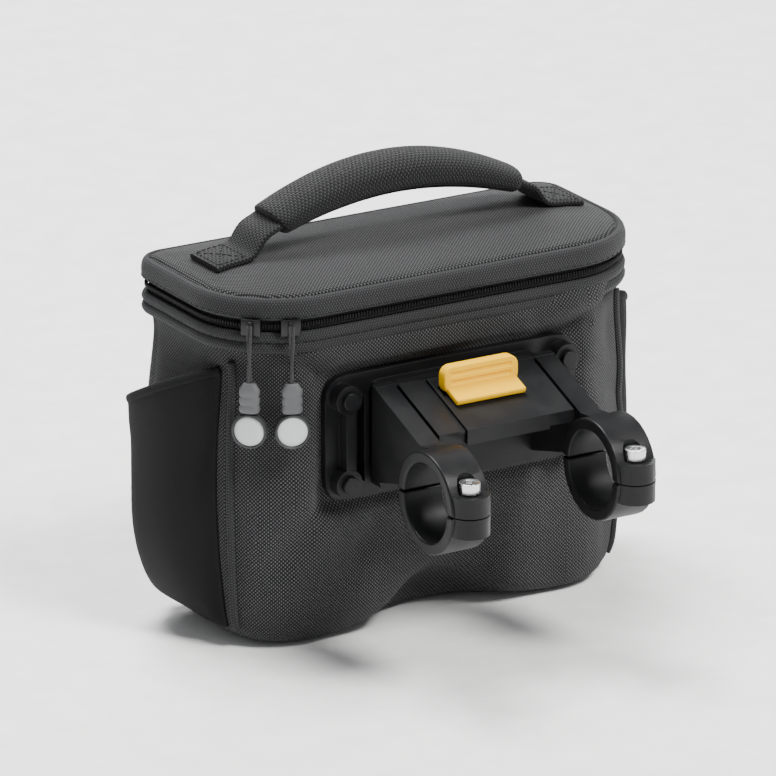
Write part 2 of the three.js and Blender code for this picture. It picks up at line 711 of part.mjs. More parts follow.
function buildReceiver() {
  const half = RECEIVER_WIDTH / 2;
  const shape = roundedRectangle(half, RECEIVER_LOW, RECEIVER_LOW + RECEIVER_HEIGHT, RECEIVER_CORNER);
  const bodies = [extrudeBack(shape, RECEIVER_FACE, RECEIVER_THICK)];
  const back = RECEIVER_FACE - RECEIVER_THICK + SINK;
  for (const side of [-1, 1]) {
    for (const { x, width } of RIBS) {
      const rib = new THREE.BoxGeometry(width, RIB_DEEP + SINK, RECEIVER_HEIGHT - 2 * SCREW_INSET);
      bodies.push(rib.translate(side * x, back - RIB_DEEP / 2, RECEIVER_LOW + RECEIVER_HEIGHT / 2));
    }
  }
  const block = roundedRectangle(BLOCK_HALF, RECEIVER_LOW + BLOCK_MARGIN,
    RECEIVER_LOW + RECEIVER_HEIGHT - BLOCK_MARGIN, BLOCK_MARGIN);
  bodies.push(extrudeBack(block, back, BLOCK_DEEP + SINK, 2));
  screwPlaces.forEach(({ x, z }) => bodies.push(cylinderBack(x, z, BOSS_RADIUS, back, BOSS_DEEP + SINK)));
  add('receiver_plate', geometryOf(joined(bodies).subtract(blockHollow())), BLACK_PLASTIC);

  const screwBack = back - BOSS_DEEP - SINK - GAP;
  screwPlaces.forEach(({ x, z }, i) => {
    add(`receiver_screw_${i + 1}`, cylinderBack(x, z, SCREW_RADIUS, screwBack, SCREW_HEIGHT, 12), BLACK_PLASTIC);
  });
}

// A flat outline in depth and height, given as [y, z] pairs, extruded across X
function acrossBody(outline, x, width) {
  const shape = new THREE.Shape(outline.map(([y, z]) => new THREE.Vector2(y, z)));
  const geometry = new THREE.ExtrudeGeometry(shape, { depth: width, bevelEnabled: false });
  return geometry.applyMatrix4(new THREE.Matrix4().set(0, 0, 1, x - width / 2, 1, 0, 0, 0,
    0, 1, 0, 0, 0, 0, 0, 1));
}

const CLAMP_OUTER = BAR_RADIUS + CLAMP_WALL;
const BRACKET_FRONT = RECEIVER_FACE - RECEIVER_THICK - BLOCK_DEEP - GAP;
const BAR_Y = BRACKET_FRONT - BAR_BEHIND;
const BOLT_Y = BAR_Y - BAR_RADIUS - BOLT_BEHIND;
const LEVER_Y = BRACKET_FRONT - LEVER_BEHIND;
const slopeAt = (y) => PLATE_TOP_Z + (y - BRACKET_FRONT) * Math.tan(radians(PLATE_SLOPE));

function barHole() {
  const hole = new THREE.CylinderGeometry(BAR_RADIUS, BAR_RADIUS, RIM_WIDTH, 32);
  return solidOf(hole.rotateZ(Math.PI / 2).translate(0, BAR_Y, BAR_Z));
}

// The split between the upper and lower halves of a clamp runs level through the bar
function halfClamp(side, upper) {
  const ring = new THREE.CylinderGeometry(CLAMP_OUTER, CLAMP_OUTER, CLAMP_WIDTH, 32);
  ring.rotateZ(Math.PI / 2).translate(side * CLAMP_X, BAR_Y, BAR_Z);
  const lug = new THREE.CylinderGeometry(LUG_RADIUS, LUG_RADIUS, LUG_LENGTH, 16);
  lug.rotateX(Math.PI / 2);
  const centre = BAR_Z + (upper ? 1 : -1) * (SPLIT_HALF + LUG_LENGTH / 2);
  lug.translate(side * CLAMP_X, BOLT_Y, centre);
  const keep = new THREE.BoxGeometry(RIM_WIDTH, RIM_WIDTH, RIM_WIDTH);
  keep.translate(0, BAR_Y, BAR_Z + (upper ? 1 : -1) * (SPLIT_HALF + RIM_WIDTH / 2));
  const well = new THREE.CylinderGeometry(BOLT_RADIUS + 2 * GAP, BOLT_RADIUS + 2 * GAP, CLAMP_OUTER, 16);
  well.rotateX(Math.PI / 2);
  well.translate(side * CLAMP_X, BOLT_Y, BAR_Z + SPLIT_HALF + LUG_LENGTH + CLAMP_OUTER / 2);
  return joined([ring, lug]).intersect(solidOf(keep)).subtract(barHole()).subtract(solidOf(well));
}

function armBody(side) {
  const clampTop = BAR_Z + CLAMP_OUTER;
  const outline = [
    [BRACKET_FRONT, PLATE_TOP_Z],
    [BRACKET_FRONT - PLATE_LENGTH * 0.55, slopeAt(BRACKET_FRONT - PLATE_LENGTH * 0.55)],
    [BAR_Y + CLAMP_OUTER * 0.62, clampTop - 1.5],
    [BAR_Y, clampTop - 0.5],
    [BAR_Y, BAR_Z + BAR_RADIUS + 1],
    [BAR_Y + BAR_RADIUS + 1, BAR_Z + SPLIT_HALF],
    [BAR_Y + CLAMP_OUTER, BAR_Z + SPLIT_HALF],
    [BRACKET_FRONT, RECEIVER_LOW + SCREW_INSET],
  ];
  return acrossBody(outline, side * (CLAMP_X - 1), ARM_WIDTH);
}

// Each arm is a channel, open underneath
function armHollow(side) {
  const [front, bend, end] = [BRACKET_FRONT - SPINE_THICK, BRACKET_FRONT - PLATE_LENGTH * 0.55,
    BAR_Y + CLAMP_OUTER + CUT_OVER];
  const outline = [[front, slopeAt(front) - PLATE_SKIN], [bend, slopeAt(bend) - PLATE_SKIN],
    [end, slopeAt(end) - PLATE_SKIN - 1], [end, RECEIVER_LOW], [front, RECEIVER_LOW]];
  return solidOf(acrossBody(outline, side * (CLAMP_X - 1), ARM_WIDTH - 2 * ARM_SKIN));
}

function buildBracket() {
  const back = BRACKET_FRONT - PLATE_LENGTH;
  const drop = (y, depth) => slopeAt(y) - depth;
  const lip = back + PLATE_LIP;
  const [panelFront, panelBack] = [BRACKET_FRONT - PANEL_START, back - PANEL_OVER];
  const panelLip = back + PLATE_LIP / 2;
  const plate = acrossBody([[BRACKET_FRONT, PLATE_TOP_Z], [back, slopeAt(back)], [back, drop(back, PLATE_THICK)],
    [lip, drop(lip, PLATE_THICK)], [lip, drop(lip, PLATE_SKIN)],
    [BRACKET_FRONT, drop(BRACKET_FRONT, PLATE_SKIN)]], 0, 2 * PLATE_HALF);
  const panel = acrossBody([[panelFront, slopeAt(panelFront) + PANEL_RAISE],
    [panelBack, slopeAt(panelBack) + PANEL_RAISE], [panelBack, drop(panelBack, PLATE_THICK)],
    [panelLip, drop(panelLip, PLATE_THICK)], [panelLip, drop(panelLip, SINK)],
    [panelFront, drop(panelFront, SINK)]], 0, 2 * PANEL_HALF);
  const spine = new THREE.BoxGeometry(2 * CLAMP_X + ARM_WIDTH - 2, SPINE_THICK, RECEIVER_HEIGHT - 3 * SCREW_INSET);
  spine.translate(0, BRACKET_FRONT - SPINE_THICK / 2,
    PLATE_TOP_Z - 0.5 - (RECEIVER_HEIGHT - 3 * SCREW_INSET) / 2);
  const solid = joined([plate, panel, spine, armBody(-1), armBody(1)])
    .subtract(armHollow(-1)).subtract(armHollow(1))
    .add(halfClamp(-1, true)).add(halfClamp(1, true)).subtract(barHole()).subtract(leverSlot());
  add('bracket_frame', geometryOf(solid), BLACK_PLASTIC);

  for (const [label, side] of [['left', -1], ['right', 1]]) {
    add(`clamp_base_${label}`, geometryOf(halfClamp(side, false)), BLACK_PLASTIC);
    add(`clamp_bolt_${label}`, boltBody(side), STEEL);
  }
}

function boltBody(side) {
  const head = new THREE.CylinderGeometry(BOLT_RADIUS, BOLT_RADIUS, BOLT_HEAD, 16);
  const socket = new THREE.CylinderGeometry(BOLT_SOCKET, BOLT_SOCKET, BOLT_HEAD, 6);
  socket.translate(0, BOLT_HEAD * 0.5, 0);
  const solid = solidOf(head).subtract(solidOf(socket));
  const seat = BAR_Z + SPLIT_HALF + LUG_LENGTH + GAP + BOLT_HEAD / 2;
  return geometryOf(solid).rotateX(Math.PI / 2).translate(side * CLAMP_X, BOLT_Y, seat);
}

// The lever's pin line lies in the plate, under the foot of the pad
const LEVER_FOOT = slopeAt(LEVER_Y) + PANEL_RAISE + GAP;

function leverSlot() {
  const slot = new THREE.BoxGeometry(LEVER_WIDTH + 2 * GAP, LEVER_THICK + 2 * GAP, PLATE_THICK);
  return solidOf(slot.translate(0, LEVER_Y + LEVER_THICK / 2, LEVER_FOOT + CUT_OVER));
}

function buildLever() {
  const half = LEVER_WIDTH / 2;
  const pad = extrudeBack(roundedRectangle(half, LEVER_FOOT, LEVER_FOOT + LEVER_HEIGHT, 4),
    LEVER_Y + LEVER_THICK, LEVER_THICK);
  const end = LEVER_Y - LIP_LENGTH;
  const lipEnd = slopeAt(end) + PANEL_RAISE + GAP;
  const lip = acrossBody([[LEVER_Y + SINK, LEVER_FOOT], [end, lipEnd], [end, lipEnd + LIP_THICK],
    [LEVER_Y + SINK, LEVER_FOOT + LIP_THICK + 1]], 0, LIP_WIDTH);
  let solid = joined([pad, lip]);
  for (const share of [0.42, 0.72]) {
    const groove = new THREE.BoxGeometry(LEVER_WIDTH * 0.8, 2 * GROOVE_DEEP, GROOVE_TALL);
    solid = solid.subtract(solidOf(groove.translate(0, LEVER_Y, LEVER_FOOT + LEVER_HEIGHT * share)));
  }
  add('release_lever', geometryOf(solid), AMBER);
}

buildBody();
buildPiping();
buildRim();
buildLid();
buildPockets();
buildHandle();
buildPulls();
buildReceiver();
buildBracket();
buildLever();

export default part;
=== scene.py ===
# %% [markdown]
# # A handlebar bag, dressed over its hard frame
# The bag is a padded cloth box with a zipped, domed lid, a carrying handle, two stretch pockets
# and a moulded bracket with two clamps and an amber lever. The solid model already gives every
# size and place. These cells replace its plain soft solids with sewn ones and give each surface
# its own weave, rib or moulded grain.

# %% Load the frame
import math

import bmesh
import bpy
from mathutils import Matrix, Vector, noise
from mathutils.bvhtree import BVHTree
from mathutils.kdtree import KDTree


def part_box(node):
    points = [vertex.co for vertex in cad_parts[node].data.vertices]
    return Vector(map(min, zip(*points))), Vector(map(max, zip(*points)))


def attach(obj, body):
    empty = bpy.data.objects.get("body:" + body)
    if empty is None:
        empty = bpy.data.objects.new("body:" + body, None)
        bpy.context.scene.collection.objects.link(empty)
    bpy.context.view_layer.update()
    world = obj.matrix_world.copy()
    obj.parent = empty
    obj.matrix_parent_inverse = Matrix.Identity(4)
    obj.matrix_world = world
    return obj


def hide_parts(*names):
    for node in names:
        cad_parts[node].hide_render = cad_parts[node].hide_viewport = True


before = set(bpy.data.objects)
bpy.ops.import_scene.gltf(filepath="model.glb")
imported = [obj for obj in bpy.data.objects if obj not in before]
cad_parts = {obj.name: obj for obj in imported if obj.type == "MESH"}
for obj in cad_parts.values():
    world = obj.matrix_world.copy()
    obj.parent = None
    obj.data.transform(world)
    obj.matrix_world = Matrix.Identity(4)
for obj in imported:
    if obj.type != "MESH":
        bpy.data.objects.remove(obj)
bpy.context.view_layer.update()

MM = 0.001
UP = Vector((0, 0, 1))

# %% [markdown]
# ## Camera, floor and light
# The reference view looks at the rider's side of the bag with a long lens, about 31 degrees
# round to the left and 19 degrees above. The floor is one large pale plane. Large area lights
# give the soft studio look and long, gentle highlights on the black plastic.

# %% Camera
EYE = Vector((-1.5626, -2.6094, 1.1380))
AIM = Vector((0.003, 0.012, 0.0835))
LENS = 372.0

camera_data = bpy.data.cameras.new("camera")
camera_data.lens = LENS
camera_data.clip_end = 60.0
camera = bpy.data.objects.new("camera", camera_data)
camera.location = EYE
camera.rotation_euler = (AIM - EYE).to_track_quat("-Z", "Y").to_euler()
bpy.context.scene.collection.objects.link(camera)
bpy.context.scene.camera = camera


# %% Lights and floor
def area_light(name, place, size, watts, colour=(1, 1, 1)):
    light = bpy.data.lights.new(name, "AREA")
    light.shape = "DISK"
    light.size = size
    light.energy = watts
    light.color = colour
    lamp = bpy.data.objects.new(name, light)
    lamp.location = place
    lamp.rotation_euler = (AIM - Vector(place)).to_track_quat("-Z", "Y").to_euler()
    bpy.context.scene.collection.objects.link(lamp)


area_light("key", (0.6, -1.6, 2.3), 0.9, 115, (1.0, 0.99, 0.97))
area_light("top", (-0.1, 0.8, 2.3), 1.2, 105)
area_light("back", (0.9, 2.0, 1.1), 1.0, 30)

world = bpy.data.worlds.new("studio")
world.use_nodes = True
world.node_tree.nodes["Background"].inputs["Color"].default_value = (0.95, 0.96, 0.98, 1)
world.node_tree.nodes["Background"].inputs["Strength"].default_value = 0.42
bpy.context.scene.world = world


def mesh_object(name, bm):
    mesh = bpy.data.meshes.new(name)
    bm.to_mesh(mesh)
    bm.free()
    made = bpy.data.objects.new(name, mesh)
    bpy.context.scene.collection.objects.link(made)
    return made


bm = bmesh.new()
bmesh.ops.create_grid(bm, x_segments=1, y_segments=1, size=12.0)
floor = mesh_object("floor", bm)

# %% [markdown]
# ## Materials
# Every finish is procedural. Three effects serve several materials, so each is a node group: a
# plain weave of crossing threads, the small cloudy changes of tone that all cloth has, and the
# fine grain of moulded plastic. Woven pieces carry a UV map in metres, so a thread keeps its
# real width and follows the cloth round a corner.


# %% Node helpers
def put(tree, kind, inputs=None, **settings):
    node = tree.nodes.new(kind)
    for key, value in settings.items():
        setattr(node, key, value)
    for key, value in (inputs or {}).items():
        if isinstance(value, bpy.types.NodeSocket):
            tree.links.new(value, node.inputs[key])
        else:
            node.inputs[key].default_value = value
    return node


def calc(tree, operation, first, second=0.0, third=0.0):
    return put(tree, "ShaderNodeMath", {0: first, 1: second, 2: third}, operation=operation).outputs[0]


def blend_colour(tree, share, first, second):
    node = put(tree, "ShaderNodeMix", data_type="RGBA")
    for key, value in ((0, share), (6, first), (7, second)):
        if isinstance(value, bpy.types.NodeSocket):
            tree.links.new(value, node.inputs[key])
        else:
            node.inputs[key].default_value = value
    return node.outputs[2]


def node_group(name, inputs, outputs):
    group = bpy.data.node_groups.new(name, "ShaderNodeTree")
    for label, kind, value in inputs:
        socket = group.interface.new_socket(label, in_out="INPUT", socket_type=kind)
        if value is not None:
            socket.default_value = value
    for label, kind in outputs:
        group.interface.new_socket(label, in_out="OUTPUT", socket_type=kind)
    return group, put(group, "NodeGroupInput"), put(group, "NodeGroupOutput")


FLOAT, VECTOR = "NodeSocketFloat", "NodeSocketVector"

# %% [markdown]
# ### Weave
# In a plain weave the warp and the weft take turns on top, like a chessboard, and each thread
# is a small rounded ridge. The parity of the cell says which thread is on top, and a parabola
# across the cell rounds it. An image would repeat and blur; this stays sharp at any size.


# %% Weave group
def build_weave():
    tree, source, sink = node_group(
        "weave",
        [("Place", VECTOR, None), ("Threads", FLOAT, 1000.0), ("Stretch", FLOAT, 1.0)],
        [("Height", FLOAT), ("Warp", FLOAT)],
    )
    parts = put(tree, "ShaderNodeSeparateXYZ", {0: source.outputs["Place"]})
    along = calc(tree, "MULTIPLY", parts.outputs[0], source.outputs["Threads"])
    across = calc(tree, "MULTIPLY", calc(tree, "MULTIPLY", parts.outputs[1], source.outputs["Threads"]),
                  source.outputs["Stretch"])
    rounded = []
    for place in (along, across):
        share = calc(tree, "FRACT", place)
        centred = calc(tree, "MULTIPLY_ADD", share, 2.0, -1.0)
        rounded.append(calc(tree, "SUBTRACT", 1.0, calc(tree, "MULTIPLY", centred, centred)))
    cells = calc(tree, "ADD", calc(tree, "FLOOR", along), calc(tree, "FLOOR", across))
    parity = calc(tree, "ABSOLUTE", calc(tree, "MODULO", cells, 2.0))
    warp = calc(tree, "MULTIPLY", rounded[0], calc(tree, "MULTIPLY_ADD", rounded[1], 0.55, 0.45))
    weft = calc(tree, "MULTIPLY", rounded[1], calc(tree, "MULTIPLY_ADD", rounded[0], 0.55, 0.45))
    height = put(tree, "ShaderNodeMix", {0: parity, 2: weft, 3: warp}, data_type="FLOAT").outputs[0]
    tree.links.new(height, sink.inputs["Height"])
    tree.links.new(parity, sink.inputs["Warp"])
    return tree


# %% Tone and grain groups
def build_tone():
    tree, source, sink = node_group(
        "tone", [("Place", VECTOR, None), ("Size", FLOAT, 40.0), ("Amount", FLOAT, 0.2)], [("Tone", FLOAT)])
    clouds = {"Vector": source.outputs["Place"], "Scale": source.outputs["Size"], "Detail": 3.0}
    cloudy = put(tree, "ShaderNodeTexNoise", {**clouds, "Roughness": 0.55})
    centred = calc(tree, "SUBTRACT", cloudy.outputs[0], 0.5)
    tone = calc(tree, "MULTIPLY_ADD", centred, calc(tree, "MULTIPLY", source.outputs["Amount"], 2.0), 1.0)
    tree.links.new(tone, sink.inputs["Tone"])
    return tree


def build_grain():
    tree, source, sink = node_group(
        "grain", [("Place", VECTOR, None), ("Size", FLOAT, 2500.0)], [("Height", FLOAT), ("Scuff", FLOAT)])
    place, size = source.outputs["Place"], source.outputs["Size"]
    pits = put(tree, "ShaderNodeTexVoronoi", {"Vector": place, "Scale": size})
    clouds = put(tree, "ShaderNodeTexNoise", {"Vector": place, "Scale": 90.0, "Detail": 5.0})
    streaks = put(tree, "ShaderNodeMapRange", {0: clouds.outputs[0], 1: 0.45, 2: 0.72, 3: 0.0, 4: 1.0})
    tree.links.new(pits.outputs[0], sink.inputs["Height"])
    tree.links.new(streaks.outputs[0], sink.inputs["Scuff"])
    return tree


WEAVE, TONE, GRAIN = build_weave(), build_tone(), build_grain()
print("node groups:", [g.name for g in (WEAVE, TONE, GRAIN)])


# %% [markdown]
# ### Cloth finishes
# The canvas is woven from a dark and a grey thread, so it shows small slanting rows of light
# flecks. Its grey threads are painted lightest along their crowns, a painted highlight, and the
# gaps between threads are painted darker, a painted shade. Tape and webbing are the same weave,
# finer or stretched into ribs. Cloth scatters light at grazing angles, so each has a little sheen,
# set on the shader's own socket.


# %% Cloth materials
def new_material(name, roughness):
    material = bpy.data.materials.new(name)
    material.use_nodes = True
    tree = material.node_tree
    shader = tree.nodes["Principled BSDF"]
    shader.inputs["Roughness"].default_value = roughness
    return material, tree, shader


def use_group(tree, group, **values):
    node = put(tree, "ShaderNodeGroup", node_tree=group)
    for key, value in values.items():
        if isinstance(value, bpy.types.NodeSocket):
            tree.links.new(value, node.inputs[key])
        else:
            node.inputs[key].default_value = value
    return node


def bump_by(tree, shader, height, distance, strength):
    bump = put(tree, "ShaderNodeBump", {"Height": height, "Distance": distance, "Strength": strength})
    tree.links.new(bump.outputs[0], shader.inputs["Normal"])


def woven(name, dark, light, threads, stretch=1.0, depth=0.0003, sheen=0.06, roughness=0.85, fleck=0.5):
    material, tree, shader = new_material(name, roughness)
    shader.inputs["Sheen Weight"].default_value = sheen
    shader.inputs["Sheen Roughness"].default_value = 0.5
    shader.inputs["Specular IOR Level"].default_value = 0.25
    uv = put(tree, "ShaderNodeUVMap", uv_map="cloth").outputs[0]
    place = put(tree, "ShaderNodeTexCoord").outputs["Object"]
    weave = use_group(tree, WEAVE, Place=uv, Threads=1.0 / threads, Stretch=stretch)
    tone = use_group(tree, TONE, Place=place, Size=38.0, Amount=0.22)
    specks = use_group(tree, TONE, Place=uv, Size=0.9 / threads, Amount=fleck)
    # The light thread colour is mixed in by thread height, so it peaks on each crown: two-tone thread with
    # a painted highlight along the crown.
    share = calc(tree, "MULTIPLY", weave.outputs["Warp"], weave.outputs["Height"])
    lit = calc(tree, "MULTIPLY", share, specks.outputs[0])
    base = blend_colour(tree, lit, (*dark, 1), (*light, 1))
    # Thread height also scales the colour, so the gaps between threads are darker: painted shade, times the
    # random cloudy tone.
    shade = calc(tree, "MULTIPLY", tone.outputs[0],
                 calc(tree, "MULTIPLY_ADD", weave.outputs["Height"], 0.5, 0.5))
    final = put(tree, "ShaderNodeVectorMath", {0: base}, operation="SCALE")
    tree.links.new(shade, final.inputs["Scale"])
    tree.links.new(final.outputs[0], shader.inputs["Base Color"])
    bump_by(tree, shader, weave.outputs["Height"], depth, 0.8)
    return material


CANVAS = woven("canvas", (0.0025, 0.0026, 0.003), (0.1, 0.102, 0.106), 0.00078, depth=0.0005)
TAPE = woven("tape", (0.011, 0.0113, 0.0122), (0.05, 0.051, 0.054), 0.0006, stretch=0.6, depth=0.0002)
ZIP_TAPE = woven("zip_tape", (0.004, 0.004, 0.005), (0.012, 0.012, 0.013), 0.0006, depth=0.0002)
STRETCH = woven("stretch_cloth", (0.0022, 0.0023, 0.0026), (0.004, 0.0041, 0.0046), 0.0005,
                depth=0.00006, sheen=0.0)
WEBBING = woven("webbing", (0.0025, 0.0026, 0.003), (0.034, 0.035, 0.037), 0.00085,
                stretch=0.55, depth=0.0004)
THREAD = woven("thread", (0.01, 0.01, 0.011), (0.035, 0.035, 0.037), 0.0004, depth=0.0001)
CORD = woven("cord", (0.02, 0.0205, 0.022), (0.1, 0.1, 0.105), 0.0005, depth=0.0002)


# %% [markdown]
# ### Hard finishes
# The bracket is black moulded plastic with a satin skin: a fine grain in the bump and cloudy
# changes of gloss. The lever is the same plastic in amber, smoother. Bolts are bright steel,
# the pulls are grey rubber and their discs are pale, slightly grainy reflectors.


# %% Hard materials
def moulded(name, colour, roughness, grain=0.00003, size=2200.0, metallic=0.0, gloss=0.5, scuff=0.12):
    material, tree, shader = new_material(name, roughness)
    shader.inputs["Specular IOR Level"].default_value = gloss
    shader.inputs["Metallic"].default_value = metallic
    place = put(tree, "ShaderNodeTexCoord").outputs["Object"]
    grains = use_group(tree, GRAIN, Place=place, Size=size)
    tone = use_group(tree, TONE, Place=place, Size=55.0, Amount=0.12)
    base = put(tree, "ShaderNodeVectorMath", {0: colour}, operation="SCALE")
    tree.links.new(tone.outputs[0], base.inputs["Scale"])
    tree.links.new(base.outputs[0], shader.inputs["Base Color"])
    rough = calc(tree, "MULTIPLY_ADD", grains.outputs["Scuff"], scuff, roughness)
    tree.links.new(rough, shader.inputs["Roughness"])
    bump_by(tree, shader, grains.outputs["Height"], grain, 0.6)
    return material


BLACK_PLASTIC = moulded("black_plastic", (0.0048, 0.005, 0.0056), 0.4, gloss=0.22)
AMBER = moulded("amber_plastic", (0.84, 0.46, 0.0), 0.46, grain=0.00001, gloss=0.08)
STEEL = moulded("bolt_steel", (0.66, 0.66, 0.67), 0.24, grain=0.00001, metallic=1.0)
RUBBER = moulded("grey_rubber", (0.075, 0.076, 0.08), 0.55, grain=0.00005)
RIM_RUBBER = moulded("dark_rubber", (0.02, 0.0205, 0.022), 0.5, grain=0.00004)
DISC = moulded("reflector", (0.5, 0.51, 0.52), 0.4, grain=0.00006, size=1500.0)
ENAMEL = moulded("slider_enamel", (0.006, 0.006, 0.0065), 0.3, grain=0.00001, gloss=0.3)
FLOOR = moulded("floor", (0.9, 0.9, 0.895), 0.75, grain=0.0001, size=400.0)
floor.data.materials.append(FLOOR)
print("materials:", len(bpy.data.materials))

# %% [markdown]
# ## Sewn and moulded helpers
# Most soft parts of a bag are long: bands, tapes, piping, webbing. Each is a small
# cross-section extruded from station to station along a path. Sizes round the rim repeat those
# of the solids, in metres, so that a band fits where its solid was.

# %% Sizes
RIM_HALF = 97.5 * MM
RIM_DEEP = 87 * MM
REAR_CORNER = 38 * MM
FRONT_CORNER = 12 * MM
CORNER_CENTRE = Vector((-(RIM_HALF - REAR_CORNER), -RIM_DEEP / 2 + REAR_CORNER, 0))
SIDES = (("left", -1), ("right", 1))


def fill_in(points, step):
    filled = []
    for i, (a, turn) in enumerate(points):
        b, _ = points[(i + 1) % len(points)]
        pieces = max(1, round((b - a).length / step))
        filled += [(a.lerp(b, k / pieces), turn) for k in range(pieces)]
    return filled


def rim_path(inset=0.0, steps=12, step=5 * MM):
    """Stations round the rim: X points out, Y up and Z along the rim."""
    right, deep = RIM_HALF - inset, RIM_DEEP / 2 - inset
    rear, front = REAR_CORNER - inset, max(FRONT_CORNER - inset, 1.2 * MM)
    corners = [(right - rear, rear - deep, rear, -90), (right - front, deep - front, front, 0),
               (front - right, deep - front, front, 90), (rear - right, rear - deep, rear, 180)]
    points = []
    for x, y, radius, start in corners:
        for i in range(steps + 1):
            turn = math.radians(start + 90 * i / steps)
            points.append((Vector((x + radius * math.cos(turn), y + radius * math.sin(turn), 0)), turn))
    return [station(place, Vector((math.cos(turn), math.sin(turn), 0)), UP)
            for place, turn in fill_in(points, step)]


def station(place, x_axis, y_axis, wide=1.0, high=1.0):
    z_axis = x_axis.cross(y_axis)
    turn = Matrix((x_axis, y_axis, z_axis)).transposed().to_4x4()
    return Matrix.Translation(place) @ turn @ Matrix.Diagonal((wide, high, 1, 1))


# %% Sweep
def sweep(bm, profile, stations, closed=False):
    """Extrudes a closed profile from station to station, and keeps how far along and round it is."""
    along = bm.verts.layers.float.get("along") or bm.verts.layers.float.new("along")
    around = bm.verts.layers.float.get("around") or bm.verts.layers.float.new("around")
    ring = [bm.verts.new(stations[0] @ Vector((x, y, 0))) for x, y in profile]
    edges = [bm.edges.new((ring[i - 1], ring[i])) for i in range(len(ring))]
    girth = 0.0
    for i, vert in enumerate(ring):
        vert[around] = girth
        girth += (Vector(profile[(i + 1) % len(profile)]) - Vector(profile[i])).length
    first_edges, travelled = edges, 0.0
    route = stations[1:] + (stations[:1] if closed else [])
    before = stations[0]
    made = list(ring)
    for after in route:
        grown = bmesh.ops.extrude_edge_only(bm, edges=edges)["geom"]
        ring = [g for g in grown if isinstance(g, bmesh.types.BMVert)]
        fresh = set(ring)
        edges = [g for g in grown if isinstance(g, bmesh.types.BMEdge) and set(g.verts) <= fresh]
        bmesh.ops.transform(bm, matrix=after @ before.inverted(), verts=ring)
        travelled += (after.translation - before.translation).length
        for vert in ring:
            vert[along] = travelled
        made += ring
        before = after
    if closed:
        bmesh.ops.remove_doubles(bm, verts=made, dist=1e-6)
    else:
        bmesh.ops.holes_fill(bm, edges=first_edges + edges, sides=0)
    bmesh.ops.recalc_face_normals(bm, faces=bm.faces)
    return travelled, girth


def sweep_uv(bm, length, girth):
    """Lays the sweep flat: U runs along the path and V round the profile, both in metres."""
    along, around = bm.verts.layers.float["along"], bm.verts.layers.float["around"]
    uv = bm.loops.layers.uv.new("cloth")
    for face in bm.faces:
        for layer, axis, total in ((along, 0, length), (around, 1, girth)):
            values = [loop.vert[layer] for loop in face.loops]
            torn = max(values) - min(values) > total / 2
            for loop, value in zip(face.loops, values):
                loop[uv].uv[axis] = value + (total if torn and value < total / 2 else 0.0)


def swept(profile, stations, closed=False):
    """A new sweep with its cloth laid flat."""
    bm = bmesh.new()
    length, girth = sweep(bm, profile, stations, closed)
    sweep_uv(bm, length, girth)
    return bm


def oval(half_wide, half_high, steps=12):
    turns = [2 * math.pi * k / steps for k in range(steps)]
    return [(half_wide * math.cos(a), half_high * math.sin(a)) for a in turns]


# %% Pieces
def dress(made, material, replaced=(), body="bag", smooth=50):
    """Gives a finished piece its material, soft shading and body."""
    made.data.materials.clear()
    made.data.materials.append(material)
    for polygon in made.data.polygons:
        polygon.use_smooth = True
    if smooth:
        made.data.set_sharp_from_angle(angle=math.radians(smooth))
    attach(made, body)
    if replaced:
        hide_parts(*replaced)
    print(f"{made.name}: {len(made.data.polygons)} faces")
    return made


def band(name, profile, material, replaced=()):
    """One profile, in millimetres out from the rim and up from the floor, carried round the rim."""
    bm = swept([(x * MM, z * MM) for x, z in profile], rim_path(), closed=True)
    return dress(mesh_object(name, bm), material, replaced)


def merged(*names):
    """A joined copy of CAD nodes with their loose triangles welded, for pieces built over them."""
    bm = bmesh.new()
    for name in names:
        bm.from_mesh(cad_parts[name].data)
    bmesh.ops.remove_doubles(bm, verts=bm.verts, dist=2e-6)
    return bm


def reopened(made):
    bm = bmesh.new()
    bm.from_mesh(made.data)
    return bm


def closed_again(made, bm):
    bm.to_mesh(made.data)
    bm.free()


def surface_of(made):
    return BVHTree.FromObject(made, bpy.context.evaluated_depsgraph_get())


def cut(bm, place, normal, clear_outer=False):
    """Slices everything by a plane, and can take away what lies beyond it."""
    bmesh.ops.bisect_plane(bm, geom=bm.verts[:] + bm.edges[:] + bm.faces[:], plane_co=place,
                           plane_no=normal, clear_outer=clear_outer)


def lay_flat(bm, place):
    """Gives every corner of the cloth its place in the weave, in metres."""
    uv = bm.loops.layers.uv.new("cloth")
    for face in bm.faces:
        for loop in face.loops:
            loop[uv].uv = place(loop.vert.co)


CLOTH_THICK = 2.2 * MM


def thicken(made):
    """Lets the padded cloth grow inwards from its outer surface."""
    thick = made.modifiers.new("thickness", "SOLIDIFY")
    thick.thickness = CLOTH_THICK
    thick.offset = -1


# %% [markdown]
# ## The padded wall
# The real wall is two layers of cloth with thin foam between, so it swells a little between
# its seams and is pulled tight where the receiver is screwed on and at the zip. A cloth
# simulation gives that: the panels are joined, remeshed into even quads, pinned at the seams
# and inflated slightly. Seam lines are pressed in afterwards, because a remesh erases them.


# %% Simulation helpers
def applied(made, modifier):
    """Keeps what a modifier makes of a mesh, and takes the modifier off."""
    bpy.context.view_layer.update()
    finished = bpy.data.meshes.new_from_object(made.evaluated_get(bpy.context.evaluated_depsgraph_get()))
    made.modifiers.remove(modifier)
    made.data = finished


def even_quads(made, size):
    remesh = made.modifiers.new("even", "REMESH")
    remesh.mode = "VOXEL"
    remesh.voxel_size = size
    applied(made, remesh)


def subdivided(made, levels=1):
    smooth = made.modifiers.new("smooth", "SUBSURF")
    smooth.levels = smooth.render_levels = levels
    applied(made, smooth)


